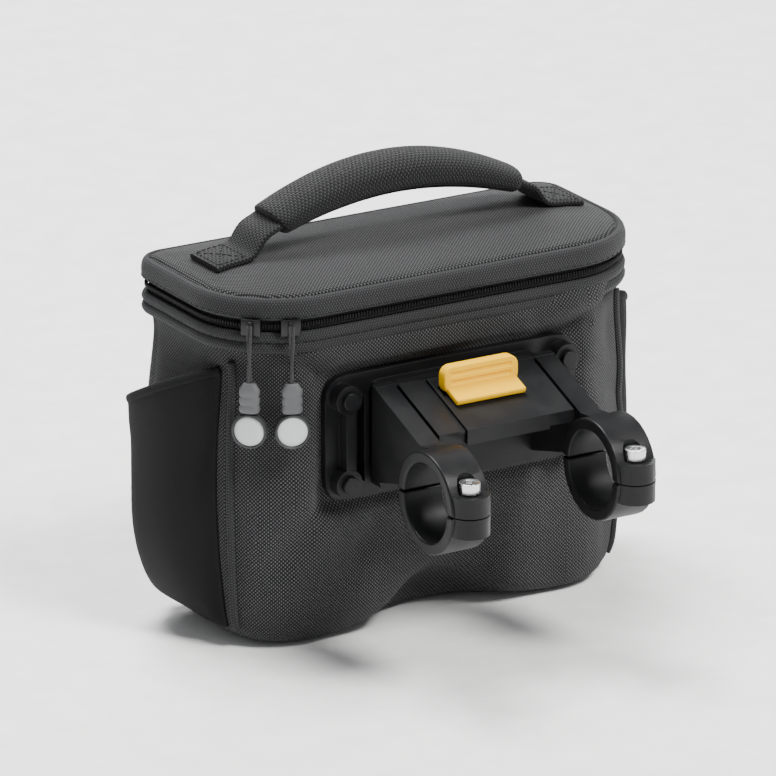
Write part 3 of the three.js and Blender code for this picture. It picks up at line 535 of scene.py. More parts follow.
def puff(made, held, pressure, cap, frames=18):
    """Inflates a mesh as cloth. held(point) is 1 where it is sewn down and 0 where it is free."""
    rest = [v.co.copy() for v in made.data.vertices]
    holds = [held(p) for p in rest]
    group = made.vertex_groups.new(name="held")
    for i, hold in enumerate(holds):
        group.add([i], hold, "REPLACE")
    cloth = made.modifiers.new("cloth", "CLOTH")
    cloth.settings.vertex_group_mass = "held"
    cloth.settings.use_pressure = True
    cloth.settings.uniform_pressure_force = pressure
    cloth.settings.effector_weights.gravity = 0
    cloth.settings.quality = 4
    cloth.settings.mass = 0.4
    cloth.settings.bending_stiffness = 2.0
    cloth.point_cache.frame_end = frames
    for step in range(1, frames + 1):
        bpy.context.scene.frame_set(step)
    shape = made.evaluated_get(bpy.context.evaluated_depsgraph_get()).data
    moved = [v.co.copy() for v in shape.vertices]
    made.modifiers.remove(cloth)
    made.vertex_groups.remove(group)
    bpy.context.scene.frame_set(1)
    for vert, start, end, hold in zip(made.data.vertices, rest, moved, holds):
        shift = (end - start) * (1 - hold)
        if shift.length > cap:
            shift *= cap / shift.length
        vert.co = start + shift
    print(f"{made.name}: swelled by up to {max((a - b).length for a, b in zip(rest, moved)) / MM:.1f} mm")


def ease(value, low, high):
    share = min(max((value - low) / (high - low), 0.0), 1.0)
    return share * share * (3 - 2 * share)


# %% The outline of the body, and the shape of its base
guide = rim_path(inset=5 * MM)
tree_of_stations = KDTree(len(guide))
reach = [0.0]
for i, s in enumerate(guide):
    tree_of_stations.insert(s.translation, i)
    after = guide[(i + 1) % len(guide)]
    reach.append(reach[-1] + (after.translation - s.translation).length)
tree_of_stations.balance()
AROUND = reach[-1]
BASE_ROUND = 14 * MM
ARCH_HALF, ARCH_LIFT, ARCH_SMOOTHING = 57 * MM, 5 * MM, 6


def soften_base(p):
    """Rounds the bottom edge as a stuffed edge is, and draws it up in the middle of the rear."""
    place, i, _ = tree_of_stations.find(Vector((p.x, p.y, 0)))
    out = guide[i].col[0].xyz
    deep, tall = BASE_ROUND + (p - place).dot(out), BASE_ROUND - p.z
    if deep > 0 and tall > 0 and math.hypot(deep, tall) > BASE_ROUND:
        share = BASE_ROUND / math.hypot(deep, tall)
        p.x, p.y = (p.xy - out.xy * deep * (1 - share))
        p.z = BASE_ROUND - tall * share
    middle = math.cos(min(abs(p.x) / ARCH_HALF, 1.0) * math.pi / 2) ** 2
    p.z += ARCH_LIFT * middle * ease(-p.y, 6 * MM, 30 * MM) * (1 - ease(p.z, 8 * MM, 45 * MM))


# %% The wall as one closed shell
MOUTH = 135 * MM
EVEN_SIZE = 3.4 * MM
PLUG_INSET, PLUG_THICK = 4.6 * MM, 4 * MM
REAR_WALL, SIDE_WALL = -28 * MM, 60 * MM

bm = merged("wrap_panel", "side_panel_left", "side_panel_right")
plug_rim = [bm.verts.new(s.translation + UP * (MOUTH - 1 * MM)) for s in rim_path(inset=PLUG_INSET)]
grown = bmesh.ops.extrude_face_region(bm, geom=[bm.faces.new(plug_rim)])["geom"]
plug_low = [g for g in grown if isinstance(g, bmesh.types.BMVert)]
bmesh.ops.translate(bm, vec=-UP * PLUG_THICK, verts=plug_low)
wall = mesh_object("bag_wall", bm)
even_quads(wall, EVEN_SIZE)
bm = reopened(wall)
for vert in bm.verts:
    if vert.co.y < 0:
        soften_base(vert.co)
arch = [v for v in bm.verts if v.co.z < 30 * MM and v.co.y < -5 * MM and abs(v.co.x) < ARCH_HALF - 1 * MM]
for _ in range(ARCH_SMOOTHING):
    bmesh.ops.smooth_vert(bm, verts=arch, factor=0.5, use_axis_x=True, use_axis_y=True, use_axis_z=True)
closed_again(wall, bm)
print("wall:", len(wall.data.vertices), "points after the remesh")

# %% Sew it down and inflate it
RECEIVER_LOW, RECEIVER_HIGH, RECEIVER_HALF = 62 * MM, 114 * MM, 58 * MM
SEAM_REAR, SEAM_FRONT = -22 * MM, 31 * MM
WALL_PRESSURE, WALL_SWELL = 4.0, 2.8 * MM
BEHIND_POCKET = 0.8


def beside_plate(p):
    """How far a point of the rear wall lies outside the receiver, or below 0 behind it."""
    if p.y > REAR_WALL:
        return 1.0
    return max(abs(p.x) - RECEIVER_HALF, RECEIVER_LOW - p.z, p.z - RECEIVER_HIGH)


def wall_held(p):
    """1 where the wall is sewn or screwed down: at mouth, base, receiver, side seams and pockets."""
    mouth = ease(p.z, 120 * MM, 131 * MM)
    base = 1 - ease(p.z, 1 * MM, 14 * MM)
    plate = 1 - ease(beside_plate(p), 0.0, 7 * MM)
    sides = 0.0
    if abs(p.x) > SIDE_WALL:
        sides = 1 - ease(min(abs(p.y - SEAM_REAR), abs(p.y - SEAM_FRONT)), 1 * MM, 9 * MM)
        if SEAM_REAR < p.y < SEAM_FRONT:
            sides = max(sides, BEHIND_POCKET)
    return max(mouth, base, plate, sides)


puff(wall, wall_held, WALL_PRESSURE, WALL_SWELL)
subdivided(wall)


# %% Press in seams and creases
def line_distance(p, a, b):
    share = min(max((p - a).dot(b - a) / (b - a).length_squared, 0.0), 1.0)
    return (p - a.lerp(b, share)).length, share


# Each fold runs from one point of the wall to another, and is so deep and so wide.
CREASES = [
    (Vector((0.046, -0.039, 0.112)), Vector((0.090, -0.026, 0.129)), 6.4 * MM, 4.2 * MM),
    (Vector((0.036, -0.040, 0.120)), Vector((0.080, -0.036, 0.134)), -3.8 * MM, 7 * MM),
    (Vector((0.060, -0.039, 0.100)), Vector((0.089, -0.022, 0.076)), 3.2 * MM, 5.5 * MM),
    (Vector((-0.056, -0.039, 0.113)), Vector((-0.074, -0.036, 0.127)), 3.0 * MM, 5 * MM),
    (Vector((-0.060, -0.039, 0.064)), Vector((-0.080, -0.032, 0.028)), 3.8 * MM, 6.5 * MM),
    (Vector((0.060, -0.039, 0.064)), Vector((0.080, -0.032, 0.034)), 3.8 * MM, 6.5 * MM),
    (Vector((-0.030, -0.039, 0.061)), Vector((-0.052, -0.039, 0.016)), 2.2 * MM, 8 * MM),
]
RUMPLE, RUMPLE_SIZE = 3.4 * MM, 17.0
PILLOW, PILLOW_ABOVE = 2.2 * MM, 1.4 * MM
SEAM_DEEP, SEAM_WIDE = 0.7 * MM, 1.3 * MM


def bell(gap, width):
    return math.exp(-((gap / width) ** 2))


def wall_push(p):
    """How far a point of the wall moves out: small rumples, the swelling round the receiver, folds."""
    push = RUMPLE * noise.fractal(p * RUMPLE_SIZE, 1.0, 2.0, 2) * (1 - wall_held(p))
    if p.y < REAR_WALL:
        gap = beside_plate(p)
        rise = ease(gap, 0.0, 6 * MM)
        push += PILLOW * rise * (1 - ease(gap, 7 * MM, 24 * MM))
        if p.z > RECEIVER_HIGH and abs(p.x) < 70 * MM:
            push += PILLOW_ABOVE * rise * (1 - ease(p.z, 126 * MM, 131 * MM))
    for a, b, depth, width in CREASES:
        gap, share = line_distance(p, a, b)
        push -= depth * bell(gap, width) * math.sin(math.pi * min(max(share, 0.08), 0.92))
    if abs(p.x) > SIDE_WALL and p.z > 4 * MM:
        push -= SEAM_DEEP * bell(p.y - SEAM_FRONT, SEAM_WIDE)
    return push


for vert, normal in zip(wall.data.vertices, [v.normal.copy() for v in wall.data.vertices]):
    vert.co = vert.co + normal * wall_push(vert.co.copy())
    vert.co.z = max(vert.co.z, 0.0)


# %% Open the mouth and lay the weave
def around_the_wall(p):
    """How far round the body a point lies, along the outline."""
    place, i, _ = tree_of_stations.find(Vector((p.x, p.y, 0)))
    tangent = Vector((-guide[i][1][0], guide[i][0][0], 0)).normalized()
    return reach[i] + (Vector((p.x, p.y, 0)) - place).dot(tangent)


UNDERSIDE = -0.75


def wall_uv(bm):
    """Lays the weave round the walls, and flat across the underside."""
    uv = bm.loops.layers.uv.new("cloth")
    for face in bm.faces:
        if face.normal.z < UNDERSIDE:
            for loop in face.loops:
                loop[uv].uv = (loop.vert.co.x, loop.vert.co.y)
            continue
        values = [around_the_wall(loop.vert.co) for loop in face.loops]
        torn = max(values) - min(values) > AROUND / 2
        for loop, value in zip(face.loops, values):
            loop[uv].uv = (value + (AROUND if torn and value < AROUND / 2 else 0.0), loop.vert.co.z)


bm = reopened(wall)
cut(bm, UP * (MOUTH - 2 * MM), UP, clear_outer=True)
wall_uv(bm)
wall_tree = BVHTree.FromBMesh(bm)
closed_again(wall, bm)
thicken(wall)
dress(wall, CANVAS, ("wrap_panel", "side_panel_left", "side_panel_right"), smooth=0)

# %% [markdown]
# ## The domed lid
# One piece of the same canvas over foam, sewn to the lid band all round, so it is lowest at
# the seam and swells towards the middle. A square grid is bent to the rounded outline, dropped
# on the solid lid, and inflated with its edge and the stitched handle ends held down.


# %% Lid surface
def rounded_reach(turn, half_x, half_y, rear, front):
    """How far the rounded rectangle reaches from its middle in one direction."""
    c, s = math.cos(turn), math.sin(turn)
    reach_box = min(half_x / max(abs(c), 1e-9), half_y / max(abs(s), 1e-9))
    radius = rear if s < 0 else front
    corner = Vector((math.copysign(half_x - radius, c), math.copysign(half_y - radius, s)))
    p = Vector((c, s)) * reach_box
    if abs(p.x) <= abs(corner.x) or abs(p.y) <= abs(corner.y):
        return reach_box
    along = corner.dot(Vector((c, s)))
    return along + math.sqrt(max(along * along - corner.length_squared + radius * radius, 0.0))


LID_INSET, LID_EDGE = 3.4 * MM, 148.6 * MM
JUST_INSIDE = 0.992
ABOVE_ALL = 0.3

lid_tree = BVHTree.FromBMesh(merged("lid_panel"))
bm = bmesh.new()
bmesh.ops.create_grid(bm, x_segments=84, y_segments=42, size=1.0)
for vert in bm.verts:
    u, v = vert.co.x, vert.co.y
    disc = Vector((u * math.sqrt(1 - v * v / 2), v * math.sqrt(1 - u * u / 2)))
    turn = math.atan2(disc.y * RIM_DEEP / 2, disc.x * RIM_HALF)
    reach_out = rounded_reach(turn, RIM_HALF - LID_INSET, RIM_DEEP / 2 - LID_INSET,
                              REAR_CORNER - LID_INSET, FRONT_CORNER - LID_INSET)
    flat = Vector((math.cos(turn), math.sin(turn), 0)) * reach_out * disc.length
    hit = lid_tree.ray_cast(flat * JUST_INSIDE + UP * ABOVE_ALL, -UP)[0]
    vert.co = Vector((flat.x, flat.y, hit.z if hit else LID_EDGE))
bmesh.ops.smooth_vert(bm, verts=[v for v in bm.verts if not v.is_boundary], factor=0.5, use_axis_z=True)
bmesh.ops.recalc_face_normals(bm, faces=bm.faces)
if sum(f.normal.z for f in bm.faces) < 0:
    bmesh.ops.reverse_faces(bm, faces=bm.faces)
lid = mesh_object("lid_cloth", bm)

# %% Inflate the lid
ANCHOR_FROM, ANCHOR_WIDE, HANDLE_Y = 60 * MM, 22 * MM, 6 * MM
LID_PRESSURE, LID_SWELL = 1.2, 1.6 * MM
LID_RUMPLE, LID_RUMPLE_SIZE, LID_SEAM = 0.5 * MM, 22.0, 1.3 * MM


def lid_edge(p):
    """How far a point of the lid lies inside its seam."""
    gap = min(RIM_DEEP / 2 - LID_INSET - abs(p.y), RIM_HALF - LID_INSET - abs(p.x))
    if abs(p.x) > RIM_HALF - REAR_CORNER and p.y < -RIM_DEEP / 2 + REAR_CORNER:
        centre = Vector((math.copysign(RIM_HALF - REAR_CORNER, p.x), -RIM_DEEP / 2 + REAR_CORNER))
        gap = min(gap, REAR_CORNER - LID_INSET - (p.xy - centre).length)
    return gap


def lid_held(p):
    """1 where the lid is sewn down: round its edge and under the two ends of the handle."""
    edge = 1 - ease(lid_edge(p), 0.5 * MM, 7 * MM)
    beside = max(abs(p.y - HANDLE_Y) - ANCHOR_WIDE / 2, ANCHOR_FROM - abs(p.x), 0.0)
    return max(edge, 1 - ease(beside, 0.0, 9 * MM))


puff(lid, lid_held, LID_PRESSURE, LID_SWELL)
subdivided(lid)
bm = reopened(lid)
for vert in bm.verts:
    rumple = LID_RUMPLE * noise.fractal(vert.co * LID_RUMPLE_SIZE, 1.0, 2.0, 2)
    vert.co.z += rumple * (1 - lid_held(vert.co))
    vert.co.z -= LID_SEAM * (1 - ease(lid_edge(vert.co), 0.3 * MM, 2.2 * MM))
lay_flat(bm, lambda p: p.xy)
closed_again(lid, bm)
thicken(lid)
dress(lid, CANVAS, ("lid_panel",), smooth=0)

# %% [markdown]
# ## Bands and zip
# The lid has an upright band of tape folded over its seam, and the mouth has a binding with
# two soft ridges. Between them runs a coil zip: a nylon coil, so its teeth are many small
# rounded links rather than metal blocks. Each band is one profile carried round the rim.

# %% Lid band and rim binding
lid_band = [(-2.3, 140.6), (-0.9, 140.4), (-0.2, 140.9), (0.05, 142.0), (0.15, 143.6), (0.1, 145.2),
            (-0.15, 146.6), (-0.6, 147.7), (-1.3, 148.5), (-2.1, 148.9), (-2.9, 148.8), (-3.3, 148.2),
            (-3.2, 147.2), (-2.6, 146.0)]
# A thin dark strip in the groove between lid and band is painted shadow: it darkens the seam line where the
# groove's shade falls.
seam_shadow_strip = [(-2.9, 147.2), (-4.3, 147.2), (-4.3, 147.9), (-3.6, 148.15), (-2.9, 148.0)]
band("lid_band_tape", lid_band, TAPE, ("lid_band",))
band("seam_shadow_strip", seam_shadow_strip, ZIP_TAPE)


def ridge(low, high, deep, out, steps=7):
    return [(out - deep + deep * math.sin(math.pi * i / steps), low + (high - low) * i / steps)
            for i in range(steps + 1)]


binding = [(-2.4, 126.6)] + ridge(126.6, 130.8, 1.0, 0.1) + ridge(130.9, 135.1, 1.0, 0.05) + [(-2.4, 135.1)]
band("binding_tape", binding, TAPE, ("rim_binding",))

# %% Zip tapes and coil
zip_tapes = [(-4.5, 135.5), (-2.5, 135.5), (-2.35, 136.4), (-2.9, 136.9), (-2.9, 138.9), (-2.35, 139.4),
             (-2.5, 140.3), (-4.5, 140.3)]
band("zip_tapes", zip_tapes, ZIP_TAPE, ("zip_track",))

TOOTH_PITCH, TOOTH = 1.3 * MM, (0.75 * MM, 1.35 * MM, 0.42 * MM)
ZIP_MIDDLE, ZIP_INSET = 137.9 * MM, 1.75 * MM


def scattered(name, stations, shape, material):
    """Repeats a small shape, drawn about the origin, at every station."""
    bm = bmesh.new()
    for place in stations:
        made = bmesh.ops.create_uvsphere(bm, u_segments=6, v_segments=4, radius=1.0)
        bmesh.ops.transform(bm, matrix=place @ Matrix.Diagonal((*shape, 1)), verts=made["verts"])
    bm.loops.layers.uv.new("cloth")
    return dress(mesh_object(name, bm), material, smooth=0)


def row(height, inset, steps, pitch):
    """Places round the rim at one height, for teeth or stitches."""
    return [Matrix.Translation(UP * height) @ s for s in rim_path(inset, steps, pitch)]


scattered("zip_coil", row(ZIP_MIDDLE, ZIP_INSET, 24, TOOTH_PITCH), TOOTH, BLACK_PLASTIC)

# %% Stitch rows round the bands
STITCH_PITCH, STITCH = 3.2 * MM, (0.22 * MM, 0.22 * MM, 1.15 * MM)
LID_ROW, BINDING_ROW = (141.6 * MM, -0.02 * MM), (130.85 * MM, 0.75 * MM)

stitches = row(*LID_ROW, 16, STITCH_PITCH) + row(*BINDING_ROW, 16, STITCH_PITCH)
scattered("band_stitches", stitches, STITCH, THREAD)

# %% [markdown]
# ## Corner piping
# A cord wrapped in tape runs down each rear seam. A round section is carried down the wall's
# own surface, which is looked up from outside at each height, so that the piping follows every
# swelling of the cloth and never stands off it.


# %% Piping
PIPING_TURN = math.radians(30)
PIPING_ROUND, PIPING_OUT = 1.45 * MM, 0.9 * MM
PIPING_LOW, PIPING_LONG, PIPING_STEPS = 8 * MM, 113 * MM, 56


def follow(points, out):
    """Stations along a row of points, each with its X as near as it can be to the given way out."""
    stations = []
    for i, p in enumerate(points):
        ahead = (points[min(i + 1, len(points) - 1)] - points[max(i - 1, 0)]).normalized()
        side = (out - ahead * ahead.dot(out)).normalized()
        stations.append(station(p, side, ahead.cross(side).normalized()))
    return stations


def on_corner(sign, height, away):
    """The point of the wall at the piping's angle round the rear corner, moved out from it."""
    out = Vector((sign * math.cos(PIPING_TURN), -math.sin(PIPING_TURN), 0))
    centre = Vector((-sign * CORNER_CENTRE.x, CORNER_CENTRE.y, height))
    return wall_tree.ray_cast(centre + out * 0.1, -out)[0] + out * away, out


for side, sign in SIDES:
    heights = [PIPING_LOW + PIPING_LONG * k / PIPING_STEPS for k in range(PIPING_STEPS + 1)]
    points = [on_corner(sign, height, PIPING_OUT)[0] for height in heights]
    outward = on_corner(sign, heights[0], 0)[1]
    bm = swept(oval(PIPING_ROUND, PIPING_ROUND), follow(points, outward))
    dress(mesh_object(f"piping_{side}", bm), TAPE, (f"corner_piping_{side}",), smooth=0)

# %% [markdown]
# ## Side pockets
# Smooth stretch cloth, sewn on three sides and open along a slanted top, with a rolled hem. It
# is thin, so the solid's coarse sheet is smoothed, and its sewn edges are drawn in to the wall.
# The hem is a flattened round section that runs along the finished cloth, just inside its top.


# %% Pockets
POCKET_SEWN = 5 * MM
POCKET_TOP_REAR, POCKET_TOP_FRONT = 118 * MM, 93 * MM
OVER_WALL, INTO_WALL = 0.9 * MM, -0.3 * MM
HEM_HALF_DEEP, HEM_HALF_HIGH, HEM_DROP, HEM_STEPS = 1.25 * MM, 1.9 * MM, 1.3 * MM, 40
FAR_OUT = 0.2


def pocket_top(y, low, high):
    return POCKET_TOP_REAR + (POCKET_TOP_FRONT - POCKET_TOP_REAR) * (y - low.y) / (high.y - low.y)


def wall_side(sign, p):
    hit = wall_tree.ray_cast(Vector((sign * FAR_OUT, p.y, p.z)), Vector((-sign, 0, 0)))[0]
    return hit.x if hit else p.x


def pocket(side, sign):
    """The solid's sheet, smoothed, with its three sewn edges drawn in to the wall of the bag."""
    node = f"side_pocket_{side}"
    low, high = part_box(node)
    bm = merged(node)
    bmesh.ops.join_triangles(bm, faces=bm.faces, angle_face_threshold=math.radians(35),
                             angle_shape_threshold=math.radians(60))
    made = mesh_object(f"pocket_cloth_{side}", bm)
    subdivided(made, 2)
    for vert, normal in zip(made.data.vertices, [v.normal.copy() for v in made.data.vertices]):
        p = vert.co
        edge = min(p.y - low.y, high.y - p.y, p.z - low.z)
        sewn = 1 - ease(edge, 0.8 * MM, POCKET_SEWN)
        wall_x = wall_side(sign, p)
        over = OVER_WALL if normal.x * sign > 0 else INTO_WALL
        vert.co.x += (wall_x + sign * over - p.x) * sewn
        vert.co.x = sign * max(sign * vert.co.x, sign * wall_x + over)
    bm = reopened(made)
    lay_flat(bm, lambda p: p.yz)
    closed_again(made, bm)
    dress(made, STRETCH, (node,), smooth=0)
    return low, high


def hem(side, sign, low, high):
    """The rolled hem, found on the pocket's own surface just below its slanted top."""
    tree = surface_of(bpy.data.objects[f"pocket_cloth_{side}"])
    points = []
    for k in range(HEM_STEPS + 1):
        y = low.y + 0.5 * MM + (high.y - low.y - 1.0 * MM) * k / HEM_STEPS
        top = pocket_top(y, low, high)
        hit = tree.ray_cast(Vector((sign * FAR_OUT, y, top - 1.8 * MM)), Vector((-sign, 0, 0)))[0]
        if hit:
            points.append(Vector((hit.x - sign * 0.5 * MM, y, top - HEM_DROP)))
    bm = swept(oval(HEM_HALF_DEEP, HEM_HALF_HIGH), follow(points, Vector((sign, 0, 0))))
    dress(mesh_object(f"pocket_hem_{side}", bm), STRETCH, smooth=0)


for side, sign in SIDES:
    hem(side, sign, *pocket(side, sign))

# %% [markdown]
# ## Carrying handle
# A padded core wound in webbing, so the grip is nearly round and its edges meet in a slit on
# the lower rear side. Flat webbing comes out of both ends, lies down on the lid and is sewn
# there with a box and a cross. The arch follows the solid's own parabola.

# %% Grip
HANDLE_TOP, HANDLE_DROP, GRIP_HALF = 185.5 * MM, 13.8 * MM, 55 * MM
GRIP_WIDE, GRIP_THICK, GRIP_END, GRIP_MIDDLE = 25 * MM, 16 * MM, 10.5 * MM, 10.5 * MM
GRIP_SQUARE, SLIT, GRIP_STEPS = 2.4, 32, 44


def grip_station(x, scale=1.0):
    share = (x / GRIP_HALF) ** 2
    thick_here = GRIP_THICK + (GRIP_END - GRIP_THICK) * share
    slope = math.atan(-2 * HANDLE_DROP * x / GRIP_HALF**2)
    height = HANDLE_TOP - HANDLE_DROP * share - thick_here / 2 / math.cos(slope)
    upward = Vector((-math.sin(slope), 0, math.cos(slope)))
    return station(Vector((x, HANDLE_Y, height)), Vector((0, -1, 0)), upward,
                   GRIP_WIDE / 2 * scale, thick_here / 2 * scale)


def grip_profile():
    """Round with a slit at the lower rear, as shares of half the width and half the thickness."""
    points = []
    for k in range(36):
        turn = math.radians(10 * k)
        c, s = math.cos(turn), math.sin(turn)
        squarish = (abs(c) ** GRIP_SQUARE + abs(s) ** GRIP_SQUARE) ** (-1 / GRIP_SQUARE)
        points.append((squarish * c, squarish * s))
    x, y = points[SLIT]
    points[SLIT:SLIT + 1] = [(x - 0.02, y - 0.03), (x * 0.86, y * 0.86), (x + 0.02, y + 0.06)]
    return points


ends = [(-1, 0.80), (-0.998, 0.93)]
route = [grip_station(GRIP_HALF * t, s) for t, s in ends]
route += [grip_station(GRIP_HALF * (-0.985 + 1.97 * i / GRIP_STEPS)) for i in range(GRIP_STEPS + 1)]
route += [grip_station(-GRIP_HALF * t, s) for t, s in reversed(ends)]
bm = bmesh.new()
length, girth = sweep(bm, grip_profile(), route)
sweep_uv(bm, length, girth)
uv = bm.loops.layers.uv["cloth"]
for face in bm.faces:
    for loop in face.loops:
        loop[uv].uv[1] *= GRIP_MIDDLE
grip = dress(mesh_object("grip_webbing", bm), WEBBING, ("handle_grip",), smooth=60)


# %% Anchors
def smooth_route(points, steps):
    """A curve through the points, as evenly as their own parameter runs."""
    route = []
    for i in range(len(points) - 1):
        a, b, c, d = (points[max(i - 1, 0)], points[i], points[i + 1], points[min(i + 2, len(points) - 1)])
        for k in range(steps):
            t = k / steps
            route.append(0.5 * (2 * b + (c - a) * t + (2 * a - 5 * b + 4 * c - d) * t * t
                                + (3 * b - 3 * c + d - a) * t**3))
    return route + [points[-1]]


lid_top = surface_of(lid)


def lid_at(x):
    return lid_top.ray_cast(Vector((x, HANDLE_Y, ABOVE_ALL)), -UP)[0].z


def flat_profile(wide, thick_here):
    half, edge = wide / 2, thick_here / 2
    near = half - 0.3 * edge
    return [(-half, 0), (-near, edge * 0.75), (edge - half, edge), (0, edge * 1.05), (half - edge, edge),
            (near, edge * 0.75), (half, 0), (near, -edge * 0.75), (half - edge, -edge), (0, -edge),
            (edge - half, -edge), (-near, -edge * 0.75)]


ANCHOR_THICK, ANCHOR_END = 2.4 * MM, 85 * MM


def anchor_route(sign):
    inner = grip_station(GRIP_HALF).translation.z
    half = ANCHOR_THICK / 2
    heights = [(54.6 * MM, inner + 0.6 * MM), (57 * MM, inner - 0.6 * MM), (62.5 * MM, inner - 3.4 * MM),
               (67 * MM, lid_at(67 * MM) + half + 2.0 * MM), (70 * MM, lid_at(70 * MM) + half + 0.5 * MM)]
    heights += [(x * MM, lid_at(x * MM) + half + 0.2 * MM) for x in (74, 78, 82)]
    heights.append((ANCHOR_END, lid_at(ANCHOR_END) + half + 0.2 * MM))
    return smooth_route([Vector((sign * x, HANDLE_Y, z)) for x, z in heights], 4)


for side, sign in SIDES:
    stations = follow(anchor_route(sign), Vector((0, -sign, 0)))
    bm = swept(flat_profile(ANCHOR_WIDE, ANCHOR_THICK), stations)
    dress(mesh_object(f"anchor_{side}", bm), WEBBING, (f"handle_anchor_{side}",), smooth=60)


# %% Box and cross of stitches
BOX_INNER, BOX_OUTER, BOX_HALF = 71.5 * MM, 83.5 * MM, 9.2 * MM
BOX_PITCH, BOX_STITCH = 2.6 * MM, (0.28 * MM, 0.34 * MM, 1.0 * MM)


def stitch_line(a, b, drop):
    """Stitches from a to b, each lying on the surface that drop() gives below it."""
    count = max(1, round((b - a).length / BOX_PITCH))
    line = []
    for i in range(count):
        p, q = a.lerp(b, (i + 0.14) / count), a.lerp(b, (i + 0.86) / count)
        p.z, q.z = drop(p), drop(q)
        ahead = (q - p).normalized()
        out = (UP - ahead * ahead.z).normalized()
        line.append(station((p + q) / 2, out, ahead.cross(out).normalized()))
    return line


def box_and_cross(side, sign):
    """A stitched box with its two diagonals, lying on the end of one anchor."""
    tree = surface_of(bpy.data.objects[f"anchor_{side}"])

    def top(p):
        return (tree.ray_cast(Vector((p.x, p.y, ABOVE_ALL)), -UP)[0] or p).z + 0.1 * MM

    x0, x1, y0, y1 = BOX_INNER * sign, BOX_OUTER * sign, HANDLE_Y - BOX_HALF, HANDLE_Y + BOX_HALF
    corners = [Vector((x0, y0, 0)), Vector((x1, y0, 0)), Vector((x1, y1, 0)), Vector((x0, y1, 0))]
    pairs = [(0, 1), (1, 2), (2, 3), (3, 0), (0, 2), (1, 3)]
    return [stitch for a, b in pairs for stitch in stitch_line(corners[a], corners[b], top)]


stitches = [stitch for side, sign in SIDES for stitch in box_and_cross(side, sign)]
scattered("anchor_stitches", stitches, BOX_STITCH, THREAD)

# %% [markdown]
# ## Zip pulls
# Two sliders are parked on the rear left corner. From each hangs a doubled cord with a ribbed
# rubber grip moulded on, and a pale disc in a rubber rim below it. They are drawn hanging
# straight down in front of their slider and turned to their place round the corner.

# %% Pull helpers
SLIDERS = {"front": math.radians(226), "rear": math.radians(249)}
PULL_OUT = REAR_CORNER + 3.8 * MM


def corner_frame(turn, out, height):
    """X along the rim, Y pointing out of the bag, Z up."""
    outward = Vector((math.cos(turn), math.sin(turn), 0))
    across = Vector((-outward.y, outward.x, 0))
    place = CORNER_CENTRE + outward * out + UP * height
    return Matrix.Translation(place) @ Matrix((across, outward, UP)).transposed().to_4x4()


def level(middle, share=1.0):
    """A station for a sweep that runs down: its section lies in the frame's own X and Y."""
    return station(middle.translation, middle.col[0].xyz, middle.col[1].xyz, share, share)


def soften(bm, edges, radius, segments=2):
    bmesh.ops.bevel(bm, geom=edges, offset=radius, segments=segments, profile=0.5, affect="EDGES",
                    material=-1, clamp_overlap=True)


def edged_block(bm, size, place, bevel, segments=2):
    """A block with softened edges."""
    made = bmesh.ops.create_cube(bm, size=1.0)
    bmesh.ops.transform(bm, matrix=place @ Matrix.Diagonal((*size, 1)), verts=made["verts"])
    soften(bm, list({e for v in made["verts"] for e in v.link_edges}), bevel, segments)


# %% Sliders
# The front plate, the wedge between the teeth and the bridge that holds the cord, in millimetres:
# size, place in front of the zip and bevel.
SLIDER_BLOCKS = [((8, 1.5, 6.6), (0, 1.15, 0), 0.5), ((6, 2.2, 4), (0, -0.4, 0), 0.4),
                 ((2.2, 1.9, 5.2), (0, 2.6, 0.2), 0.7)]
for label, turn in SLIDERS.items():
    bm = bmesh.new()
    middle = corner_frame(turn, REAR_CORNER, ZIP_MIDDLE)
    for size, place, bevel in SLIDER_BLOCKS:
        edged_block(bm, Vector(size) * MM, middle @ Matrix.Translation(Vector(place) * MM), bevel * MM)
    bm.loops.layers.uv.new("cloth")
    dress(mesh_object(f"slider_{label}", bm), ENAMEL, (f"zip_slider_{label}",), smooth=40)

# %% Cords
CORD_TOP, CORD_LOW = 139.2 * MM, 115.2 * MM
STRAND, STRAND_DEEP, CORD_TWIST, CORD_STEPS = 0.62 * MM, 0.5 * MM, 2.4, 24
for label, turn in SLIDERS.items():
    bm = bmesh.new()
    for side in (-1, 1):
        stations = []
        for k in range(CORD_STEPS + 1):
            share = k / CORD_STEPS
            height = CORD_TOP + (CORD_LOW - CORD_TOP) * share
            spread = STRAND * side * math.cos(share * CORD_TWIST)
            depth = STRAND_DEEP * side * math.sin(share * CORD_TWIST)
            middle = corner_frame(turn, PULL_OUT, height) @ Matrix.Translation((spread, depth, 0))
            stations.append(level(middle))
        length, girth = sweep(bm, oval(STRAND, STRAND, 8), stations)
    sweep_uv(bm, length, girth)
    dress(mesh_object(f"cord_{label}", bm), CORD, (f"pull_cord_{label}",))

# %% Ribbed grips
PULL_TOP, PULL_LONG, PULL_WIDE, PULL_DEEP = 115.9 * MM, 12.4 * MM, 8.4 * MM, 4.4 * MM
PULL_NECK, PULL_RIBS, PULL_STEPS = 0.16, 3, 30


def pull_width(share):
    """Narrow at the cord, then three soft ribs down to the disc."""
    if share < PULL_NECK:
        return 0.6 + 0.26 * share / PULL_NECK
    return 0.86 + 0.14 * abs(math.sin(math.pi * PULL_RIBS * (share - PULL_NECK) / (1 - PULL_NECK))) ** 0.7


for label, turn in SLIDERS.items():
    bm = bmesh.new()
    stations = []
    for k in range(PULL_STEPS + 1):
        share = k / PULL_STEPS
        middle = corner_frame(turn, PULL_OUT, PULL_TOP - PULL_LONG * share)
        wide = pull_width(share) * (0.9 if k in (0, PULL_STEPS) else 1)
        stations.append(level(middle, wide))
    flattened = [(PULL_WIDE / 2 * math.copysign(abs(x) ** 0.6, x),
                  PULL_DEEP / 2 * math.copysign(abs(y) ** 0.75, y)) for x, y in oval(1, 1, 20)]
    sweep(bm, flattened, stations)
    dress(mesh_object(f"pull_rubber_{label}", bm), RUBBER, (f"pull_grip_{label}",), smooth=60)


